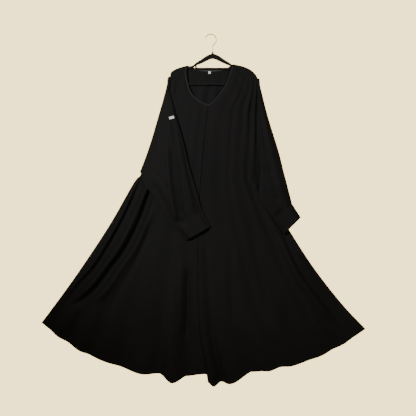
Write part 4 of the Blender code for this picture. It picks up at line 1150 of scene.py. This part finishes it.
class Recipe:
    """A material or a world whose nodes are added one by one to its shader."""

    def __init__(self, holder, shader, **constants):
        holder.use_nodes = True
        self.holder = holder
        self.nodes = holder.node_tree.nodes
        self.links = holder.node_tree.links
        self.shader = self.nodes[shader]
        for socket, value in constants.items():
            self.put(self.shader.inputs[socket.replace("_", " ")], value)

    @classmethod
    def finish(cls, name, **constants):
        """A new material's recipe, with the finish's constants on its Principled BSDF."""
        return cls(bpy.data.materials.new(name), "Principled BSDF", **constants)

    def put(self, socket, value):
        if isinstance(value, Link):
            self.links.new(value.socket, socket)
        elif socket.type == "RGBA" and len(value) == 3:
            socket.default_value = (*value, 1.0)
        else:
            socket.default_value = value

    def add(self, kind, settings, inputs, output=0):
        """Any node: its settings first, then the values or links of its sockets."""
        node = self.nodes.new(kind)
        for name, value in settings.items():
            if name == "stops":
                for element, (position, shade) in zip(node.color_ramp.elements, value):
                    element.position = position
                    element.color = (shade, shade, shade, 1.0)
            else:
                setattr(node, name, value)
        for key, value in inputs.items():
            self.put(node.inputs[key], value)
        return Link(self, node.outputs[output])

    def blend(self, share, first, last):
        settings = {"data_type": "RGBA"}
        return self.add("ShaderNodeMix", settings, {0: share, 6: first, 7: last}, output=2)

    def cloth_plane(self):
        """The cloth's own width and length in metres, as two links and the vector that holds them."""
        place = self.add("ShaderNodeUVMap", {"uv_map": "Weave"}, {})
        parts = self.nodes.new("ShaderNodeSeparateXYZ")
        self.links.new(place.socket, parts.inputs[0])
        return Link(self, parts.outputs[0]), Link(self, parts.outputs[1]), place

    def scaled(self, vector, by):
        return self.add("ShaderNodeVectorMath", {"operation": "MULTIPLY"}, {0: vector, 1: by})

    def noise(self, vector, scale, detail=2.0, roughness=0.5):
        inputs = {"Vector": vector, "Scale": scale, "Detail": detail, "Roughness": roughness}
        return self.add("ShaderNodeTexNoise", {}, inputs)

    def feed(self, socket, value):
        self.put(self.shader.inputs[socket], value)

    def object_place(self):
        """The object's own coordinates, in metres."""
        return self.add("ShaderNodeTexCoord", {}, {}, output="Object")

    def bump(self, height, distance):
        inputs = {"Height": height, "Distance": distance, "Strength": 1.0}
        self.feed("Normal", self.add("ShaderNodeBump", {}, inputs))


def shaded(colour, by):
    """The colour times a factor, darker below 1."""
    return tuple(by * value for value in colour)


def crepe(name, cloth, colour, worn):
    """Matt crepe: twisted yarns in a plain weave, a pebbled grain, and faint patches of nap."""
    sheen_tint = (0.88, 0.87, 0.9)
    recipe = Recipe.finish(
        name, Sheen_Weight=cloth.sheen, Sheen_Roughness=0.45, Specular_IOR_Level=0.16, Sheen_Tint=sheen_tint
    )
    width, run, place = recipe.cloth_plane()
    turn = 2 * math.pi / cloth.yarn
    weave = (width * turn).sine() * (run * turn).sine()
    grain = recipe.noise(place, scale=0.45 / cloth.yarn, detail=3.0, roughness=0.6)
    pebble = recipe.noise(place, scale=0.14 / cloth.yarn)
    drift = recipe.noise(recipe.scaled(place, by=(1.0, 0.35, 1.0)), scale=9.0, detail=3.0)
    lift = grain * 0.55 + pebble * 0.35 + weave * 0.10
    stops = [(0.38, 0.0), (0.72, 1.0)]
    nap = recipe.add("ShaderNodeValToRGB", {"stops": stops}, {0: drift * 0.6 + grain * 0.4})
    recipe.feed("Base Color", recipe.blend(nap, colour, worn))
    recipe.feed("Roughness", cloth.roughness - 0.08 + drift * 0.12)
    recipe.bump(lift, distance=cloth.crinkle)
    return recipe.holder


def bias_binding(name, cloth, colour):
    """The same yarn cut on the bias, pressed flat, so its weave runs slanting."""
    recipe = Recipe.finish(name, Sheen_Weight=cloth.sheen, Specular_IOR_Level=0.3)
    width, run, place = recipe.cloth_plane()
    turn = math.pi / cloth.yarn
    weave = ((width + run) * turn).sine() * ((width - run) * turn).sine()
    grain = recipe.noise(place, scale=0.4 / cloth.yarn)
    recipe.feed("Base Color", recipe.blend(grain, colour, shaded(colour, by=1.35)))
    recipe.feed("Roughness", 0.66 + grain * 0.14)
    recipe.bump(weave * 0.3 + grain * 0.7, distance=cloth.crinkle)
    return recipe.holder


def woven_tape(name, colour, pitch):
    """A smooth woven tape: fine ribs across and a faint shine."""
    recipe = Recipe.finish(name, Specular_IOR_Level=0.35, Sheen_Weight=0.1)
    width, run, place = recipe.cloth_plane()
    rib = (run * (2 * math.pi / pitch)).sine() * 0.5 + 0.5
    yarn = (width * (2 * math.pi / (0.6 * pitch))).sine() * 0.5 + 0.5
    fuzz = recipe.noise(place, scale=1400.0)
    recipe.feed("Base Color", recipe.blend(rib * 0.3 + fuzz * 0.3, colour, shaded(colour, by=0.82)))
    recipe.feed("Roughness", 0.5 + fuzz * 0.2)
    recipe.bump(rib * 0.6 + yarn * 0.4, distance=0.00015)
    return recipe.holder


def thread(name, colour):
    """Twisted thread with its own small shine."""
    recipe = Recipe.finish(name, Specular_IOR_Level=0.4)
    place = recipe.object_place()
    twist = recipe.noise(place, scale=2600.0)
    recipe.feed("Base Color", recipe.blend(twist, colour, shaded(colour, by=1.5)))
    recipe.feed("Roughness", 0.45 + twist * 0.2)
    return recipe.holder


def flocking(name, colour):
    """Short velvet pile sprayed on plastic: dull, fuzzy, with a soft edge light."""
    recipe = Recipe.finish(
        name, Sheen_Weight=0.5, Sheen_Roughness=0.35, Specular_IOR_Level=0.1, Sheen_Tint=(0.8, 0.8, 0.82)
    )
    place = recipe.object_place()
    pile = recipe.noise(place, scale=2400.0, detail=3.0, roughness=0.7)
    brushed = recipe.noise(place, scale=60.0)
    recipe.feed("Base Color", recipe.blend(pile * 0.5 + brushed * 0.5, colour, shaded(colour, by=2.2)))
    recipe.feed("Roughness", 0.9 + pile * 0.1)
    recipe.bump(pile, distance=0.0004)
    return recipe.holder


def bright_wire(name, colour):
    """Plated wire: dull grey, with faint drawing lines and small dull spots from handling."""
    recipe = Recipe.finish(name, Metallic=1.0)
    place = recipe.object_place()
    drawn = recipe.noise(recipe.scaled(place, by=(1.0, 1.0, 0.12)), scale=1800.0)
    spots = recipe.noise(place, scale=320.0, detail=3.0)
    recipe.feed("Base Color", recipe.blend(spots, colour, shaded(colour, by=0.85)))
    recipe.feed("Roughness", 0.16 + spots * 0.16)
    recipe.bump(drawn, distance=0.00004)
    return recipe.holder


def plain_floor(name, colour):
    """Pale matt ground that fades into the backdrop towards its rim."""
    recipe = Recipe.finish(name, Roughness=0.95, Specular_IOR_Level=0.1)
    place = recipe.object_place()
    distance = recipe.add("ShaderNodeVectorMath", {"operation": "LENGTH"}, {0: place}, output=1)
    reach = {0: distance, 1: FLOOR_SOLID_RADIUS, 2: FLOOR_FADED_RADIUS, 3: 1.0, 4: 0.0}
    fade = recipe.add("ShaderNodeMapRange", {"interpolation_type": "SMOOTHSTEP"}, reach)
    mottle = recipe.noise(place, scale=5.0)
    recipe.feed("Base Color", recipe.blend(mottle, colour, shaded(colour, by=0.97)))
    recipe.feed("Alpha", fade)
    return recipe.holder


def shared_looks(scene):
    """Each material once, made when the first operator asks for it."""
    cloth, trims = scene.abaya_cloth, scene.abaya_trims
    makers = {
        "Black crepe": lambda name: crepe(name, cloth, tuple(cloth.colour), tuple(cloth.worn)),
        "Black binding": lambda name: bias_binding(name, cloth, tuple(trims.binding)),
        "Grey facing": lambda name: bias_binding(name, cloth, tuple(trims.facing)),
        "Label tape": lambda name: woven_tape(name, tuple(trims.label), LABEL_RIB_PITCH * MM),
        "Black thread": lambda name: thread(name, tuple(trims.thread)),
        "White thread": lambda name: thread(name, tuple(trims.label)),
    }
    return {name: bpy.data.materials.get(name) or make(name) for name, make in makers.items()}


def settings_of(scene):
    """The shared materials, and the settings of the cloth and of the trims."""
    return shared_looks(scene), scene.abaya_cloth, scene.abaya_trims


def piece(name):
    """A finished piece of the cloak, which an earlier operator made."""
    found = bpy.data.objects.get(name)
    if found is None:
        raise RuntimeError(f"{name} is made by an operator that comes first")
    return found


class ABAYA_OT_panels(Operator):
    """Make the two front panels and the back, with their folds, turned hems and hem stitching"""

    bl_idname = "abaya.panels"
    bl_label = "Panels"

    def execute(self, context):
        looks, cloth, trims = settings_of(context.scene)
        levels, shares = panel_levels(), np.linspace(0, 1, PANEL_COLUMNS + 1)
        makers = (("front_left", front_left_panel), ("front_right", front_right_panel), ("back", back_panel))
        for name, make in makers:
            panel = make()
            columns = np.linspace(0, 1, 2 * PANEL_COLUMNS + 1) if name == "back" else shares
            rows = levels[::2] if name == "back" else levels
            rows = np.unique(np.concatenate([rows, levels[-len(HEM_ROWS):]]))
            grid = panel.grid(columns, rows, cloth.folds)
            obj = cloth_sheet(name + "_cloth", grid, cloth.wall, looks["Black crepe"])
            side = 1 if name == "back" else -1
            look = looks["Black thread"]
            hem = row_stitches(name + "_hem_stitches", grid, HEM_STITCH_ROW, side, look, trims, cloth.wall)
            dress(obj, name, "cloth", ["hanger"])
        return {"FINISHED"}


class ABAYA_OT_sleeves(Operator):
    """Make both sleeves, one folded over the front, with their gathers and their stitched cuffs"""

    bl_idname = "abaya.sleeves"
    bl_label = "Sleeves and Cuffs"

    def execute(self, context):
        looks, cloth, trims = settings_of(context.scene)
        left = Sleeve(LEFT_SIDE, OVERARM_LEFT, UNDERARM_LEFT, -1)
        right = Sleeve(RIGHT_SIDE, OVERARM_RIGHT, UNDERARM_RIGHT, 1)
        left_walls = left_sleeve_walls(left, cloth.folds)
        right_walls = right_sleeve_walls(right, cloth.folds)
        look = looks["Black crepe"]
        for side, walls, end in (("left", left_walls, CUFF_END_LEFT), ("right", right_walls, CUFF_END_RIGHT)):
            outer, inner = walls
            grid = with_noses(outer, inner)
            tube = cloth_sheet("sleeve_" + side + "_cloth", grid, cloth.wall, look, closed=True)
            dress(tube, "sleeve_" + side, "cloth", ["front_" + side + "_cloth"])
            grid = with_noses(*cuff_walls(outer[-1], inner[-1], end))
            cuff = cloth_sheet("cuff_" + side + "_cloth", grid, cloth.wall, look, closed=True)
            for place, row in (("seam", 1), ("edge", CUFF_RINGS - 2)):
                name = f"cuff_{side}_{place}_stitches"
                ring_stitches(name, grid, row, looks["Black thread"], trims, cloth.wall)
            dress(cuff, "cuff_" + side, "cloth", ["sleeve_" + side + "_cloth"])
        return {"FINISHED"}


def neck_lines():
    """The edge of the V and the line one band's width outside it, from left shoulder to right."""
    left, right = Outline(NECK_LEFT), Outline(NECK_RIGHT)
    shares = mix(NECK_BAND_START, 1.0, np.arange(NECK_BAND_STEPS) / NECK_BAND_STEPS)
    down, down_normal = left.at(shares), left.normal(shares)
    up, up_normal = right.at(shares[::-1]), right.normal(shares[::-1])
    point = left.at(1)
    lines = []
    for off in (EDGE_INSET, NECK_BAND_WIDTH):
        drop = [0, off * V_POINT_STRETCH]
        lines.append([*(down - down_normal * off), point - drop, *(up + up_normal * off)])
    return lines


def placket_lines():
    """The centre front edge and the line one placket's width to its left."""
    hem_fold = FRONT_LEFT_FOLDS[-1]
    bottom = hem_z(np.array(hem_fold.hem_x)) - hem_fold.drop + PLACKET_HEM_CLEARANCE
    heights = np.linspace(PLACKET_TOP, bottom, PLACKET_STEPS)
    centre = CENTRE.x_at(heights)
    return joined(centre - CENTRE_GAP, heights), joined(centre - PLACKET_WIDTH, heights)


def back_neck_lines():
    line = Outline(BACK_NECK)
    points = line.at(mix(*BACK_BAND_ENDS, np.linspace(0, 1, BACK_BAND_STEPS)))
    return points - [0, EDGE_INSET], points - [0, BACK_BAND_WIDTH]


def label_lines(centre, size, tilt):
    """Two opposite edges of a small tilted rectangle."""
    along = np.array([math.cos(math.radians(tilt)), math.sin(math.radians(tilt))])
    across = np.array([-along[1], along[0]])
    steps = np.linspace(-size[0] / 2, size[0] / 2, LABEL_STEPS)[:, None]
    return [np.array(centre) + across * half + along * steps for half in (-size[1] / 2, size[1] / 2)]


def column_stitches(name, grid, inset, look, settings, wall):
    """Stitches down a strip's front, in from its first edge, or from its last where inset is below zero."""
    normals = surface_normals(grid)
    normals *= np.where(normals[..., 1:2] > 0, -1, 1)
    first, last = (grid[:, 0], grid[:, -1]) if inset > 0 else (grid[:, -1], grid[:, 0])
    share = abs(inset) / np.linalg.norm(last - first, axis=1).mean()
    middle = grid.shape[1] // 2
    line = mix(first, last, share) + normals[:, middle] * thread_off(wall, STRIP_THREAD_LIFT)
    return stitch_row(name, line[1:-1], normals[1:-1, middle], look, settings)


class ABAYA_OT_bindings(Operator):
    """Lay the placket, the neck binding and the back neck facing on the panels, and stitch them down"""

    bl_idname = "abaya.bindings"
    bl_label = "Bindings"

    def execute(self, context):
        looks, cloth, trims = settings_of(context.scene)
        fronts = surface_of([piece("front_left_cloth"), piece("front_right_cloth")])
        back = surface_of([piece("back_cloth")])
        strips = (
            ("front_placket", placket_lines(), fronts, "Black crepe", "front_left_cloth"),
            ("neck_band", neck_lines(), fronts, "Black binding", "front_left_cloth"),
            ("back_neck_band", back_neck_lines(), back, "Grey facing", "back_cloth"),
        )
        wall = STRIP_WALL_SHARE * cloth.wall
        for node, lines, tree, look, under in strips:
            grid = trim_grid(lines, TRIM_COLUMNS, tree, wall, from_inside=node == "back_neck_band")
            strip = cloth_sheet(node + "_strip", grid, wall, looks[look])
            for place, inset in (("inner", STITCH_INSET), ("outer", -STITCH_INSET)):
                if place == "inner" and node != "front_placket":
                    continue
                name = f"{node}_{place}_stitches"
                column_stitches(name, grid, inset, looks["Black thread"], trims, wall)
            dress(strip, node, "facing" if node == "back_neck_band" else "binding", [under])
        return {"FINISHED"}


class ABAYA_OT_labels(Operator):
    """Sew the bare neck label and the bare tag on the folded sleeve"""

    bl_idname = "abaya.labels"
    bl_label = "Labels"

    def execute(self, context):
        looks, cloth, trims = settings_of(context.scene)
        inside = surface_of([piece("back_cloth"), piece("back_neck_band_strip")])
        sleeve = surface_of([piece("sleeve_left_cloth")])
        at_neck = label_lines(NECK_LABEL_CENTRE, NECK_LABEL_SIZE, tilt=0)
        on_sleeve = label_lines(SLEEVE_LABEL_CENTRE, SLEEVE_LABEL_SIZE, SLEEVE_LABEL_TILT)
        labels = (
            ("neck_label", at_neck, inside, True, "back_cloth"),
            ("sleeve_label", on_sleeve, sleeve, False, "sleeve_left_cloth"),
        )
        wall = LABEL_WALL_SHARE * cloth.wall
        for node, lines, tree, is_inside, under in labels:
            grid = trim_grid(lines, LABEL_STEPS, tree, wall, from_inside=is_inside, stiff=is_inside)
            tape = cloth_sheet(node + "_tape", grid, wall, looks["Label tape"])
            for place, inset in (("lower", LABEL_STITCH_INSET), ("upper", -LABEL_STITCH_INSET)):
                name = f"{node}_{place}_stitches"
                column_stitches(name, grid, inset, looks["White thread"], trims, wall)
            dress(tape, node, "label", [under])
        return {"FINISHED"}


def spun_hook():
    """The hook as bent by hand: a round over the rod, a bend back, and a straight drop."""
    tip = math.radians(HOOK_TIP_DEGREES)
    middle = Vector((HOOK_CENTRE_X, 0, -HOOK_RADIUS)) * MM
    place = middle + Vector((math.cos(tip), 0, math.sin(tip))) * HOOK_REACH * MM
    turned = math.acos((HANGER_X - HOOK_CENTRE_X + HOOK_BEND_RADIUS) / (HOOK_REACH + HOOK_BEND_RADIUS))
    low = -HOOK_RADIUS - (HOOK_REACH + HOOK_BEND_RADIUS) * math.sin(turned)
    deselect()
    bpy.ops.mesh.primitive_circle_add(
        vertices=WIRE_SIDES,
        radius=WIRE_RADIUS * MM,
        location=place,
        rotation=(0, -tip, 0),
        fill_type="NOTHING",
    )
    hook = bpy.context.object
    hook.name = "hook_wire"
    bpy.ops.object.mode_set(mode="EDIT")
    bpy.ops.mesh.select_all(action="SELECT")
    bpy.ops.mesh.spin(steps=HOOK_STEPS, angle=-(tip + turned), center=middle, axis=(0, 1, 0))
    bend = Vector((HANGER_X + HOOK_BEND_RADIUS, 0, low)) * MM
    bpy.ops.mesh.spin(steps=BEND_STEPS, angle=turned, center=bend, axis=(0, 1, 0))
    drop = (WIRE_END - low) * MM
    bpy.ops.mesh.extrude_region_move(TRANSFORM_OT_translate={"value": (0, 0, drop)})
    bpy.ops.mesh.edge_face_add()
    bpy.ops.object.mode_set(mode="OBJECT")
    return hook


def round_tip(obj, centre):
    """Closes the open end of a wire near a place with a rounded cap."""
    form = bmesh.new()
    form.from_mesh(obj.data)
    rim = [edge for edge in form.edges if edge.is_boundary]
    made = bmesh.ops.contextual_create(form, geom=rim)
    cap = made["faces"][0]
    outwards = (cap.calc_center_median() - centre).normalized()
    for reach, scale in TIP_RINGS:
        bmesh.ops.inset_region(form, faces=[cap], thickness=0.0)
        spot = cap.calc_center_median()
        for vertex in cap.verts:
            vertex.co = spot + (vertex.co - spot) * scale + outwards * reach * MM
    bmesh.ops.recalc_face_normals(form, faces=form.faces)
    form.to_mesh(obj.data)
    form.free()


class ABAYA_OT_hanger(Operator):
    """Bend the wire hook and flock the hanger"""

    bl_idname = "abaya.hanger"
    bl_label = "Hanger"

    def execute(self, context):
        settings = context.scene.abaya_hanger
        flock = flocking("Black flock", tuple(settings.flock))
        steel = bright_wire("Bright wire", tuple(settings.steel))
        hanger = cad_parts["hanger"]
        for slot in hanger.material_slots:
            slot.material = flock
        hook = spun_hook()
        make_active(hook)
        bpy.ops.object.transform_apply(location=True, rotation=True, scale=True)
        tip = math.radians(HOOK_TIP_DEGREES - TIP_BACK_DEGREES)
        x, z = HOOK_CENTRE_X + HOOK_REACH * math.cos(tip), -HOOK_RADIUS + HOOK_REACH * math.sin(tip)
        round_tip(hook, Vector((x, 0, z)) * MM)
        hook.data.materials.append(steel)
        bpy.ops.object.shade_smooth_by_angle(angle=math.radians(WIRE_SMOOTH))
        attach(hook, BODY)
        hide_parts("hanger_hook")
        return {"FINISHED"}


class ABAYA_OT_stage(Operator):
    """Set the pale floor, the soft lights and the camera at the photograph's angle"""

    bl_idname = "abaya.stage"
    bl_label = "Stage"

    def execute(self, context):
        stage = context.scene.abaya_stage
        self.floor(stage)
        self.world(context.scene, stage)
        self.light(KEY_LIGHT, stage.light, pool=True)
        self.light(FILL_LIGHT, stage.fill)
        self.light(BACK_LIGHT, stage.fill * BACK_LIGHT_SHARE)
        self.camera(context.scene, stage)
        return {"FINISHED"}

    def floor(self, stage):
        deselect()
        bpy.ops.mesh.primitive_circle_add(vertices=FLOOR_SIDES, radius=FLOOR_RADIUS, fill_type="NGON")
        floor = bpy.context.object
        floor.name = "floor"
        floor.location = (0, 0, CAD_BOUNDS[0][2] - FLOOR_BELOW)
        floor.data.materials.append(plain_floor("Pale floor", tuple(stage.backdrop)))

    def world(self, scene, stage):
        recipe = Recipe(bpy.data.worlds.new("Pale backdrop"), "Background", Color=tuple(stage.backdrop))
        seen = recipe.add("ShaderNodeLightPath", {}, {}, output="Is Camera Ray")
        recipe.feed("Strength", seen * (stage.seen - stage.ambient) + stage.ambient)
        scene.world = recipe.holder

    def light(self, lamp, power, pool=False):
        """A wide soft lamp. A pool is brightest on the cloak's upper part and fades out at its hem."""
        data = bpy.data.lights.new(lamp.name, "SPOT" if pool else "AREA")
        if pool:
            data.spot_size = math.radians(POOL_ANGLE)
            data.spot_blend = POOL_BLEND
            data.shadow_soft_size = lamp.size / 2
        else:
            data.shape = "DISK"
            data.size = lamp.size
        data.energy = power
        obj = bpy.data.objects.new(lamp.name, data)
        obj.location = lamp.place
        aim = STAGE_MIDDLE + LIGHT_AIM_RAISE - Vector(lamp.place)
        obj.rotation_euler = aim.to_track_quat("-Z", "Y").to_euler()
        bpy.context.scene.collection.objects.link(obj)

    def camera(self, scene, stage):
        """Level with the cloak's middle, with the photograph's frame at the hanger's plane."""
        data = bpy.data.cameras.new("camera")
        data.lens = data.sensor_width * stage.distance / FRAME_WIDTH
        camera = bpy.data.objects.new("camera", data)
        camera.location = STAGE_MIDDLE + Vector((0, -stage.distance, 0))
        camera.rotation_euler = (math.radians(90), 0, 0)
        scene.collection.objects.link(camera)
        scene.camera = camera


class ABAYA_PT_sidebar(Panel):
    """Lists the steps that make the cloak, in order."""

    bl_idname = "ABAYA_PT_sidebar"
    bl_label = "Abaya on a Hanger"
    bl_space_type = "VIEW_3D"
    bl_region_type = "UI"
    bl_category = "Abaya"

    def draw(self, context):
        layout = self.layout
        for key in GROUPS:
            group, box = getattr(context.scene, key), layout.box()
            for name in group.__annotations__:
                box.prop(group, name)
        for step in STEPS:
            layout.operator(step.bl_idname)


STEPS = (
    ABAYA_OT_panels,
    ABAYA_OT_sleeves,
    ABAYA_OT_bindings,
    ABAYA_OT_labels,
    ABAYA_OT_hanger,
    ABAYA_OT_stage,
)
GROUPS = {
    "abaya_cloth": AbayaCloth,
    "abaya_trims": AbayaTrims,
    "abaya_hanger": AbayaHanger,
    "abaya_stage": AbayaStage,
}


def register():
    for group in GROUPS.values():
        bpy.utils.register_class(group)
    for name, group in GROUPS.items():
        setattr(bpy.types.Scene, name, PointerProperty(type=group))
    for item in (*STEPS, ABAYA_PT_sidebar):
        bpy.utils.register_class(item)


def unregister():
    for item in (ABAYA_PT_sidebar, *reversed(STEPS)):
        bpy.utils.unregister_class(item)
    for name in GROUPS:
        delattr(bpy.types.Scene, name)
    for group in reversed(list(GROUPS.values())):
        bpy.utils.unregister_class(group)


def main():
    register()
    bpy.ops.abaya.panels()
    bpy.ops.abaya.sleeves()
    bpy.ops.abaya.bindings()
    bpy.ops.abaya.labels()
    bpy.ops.abaya.hanger()
    bpy.ops.abaya.stage()


if __name__ == "__main__":
    main()
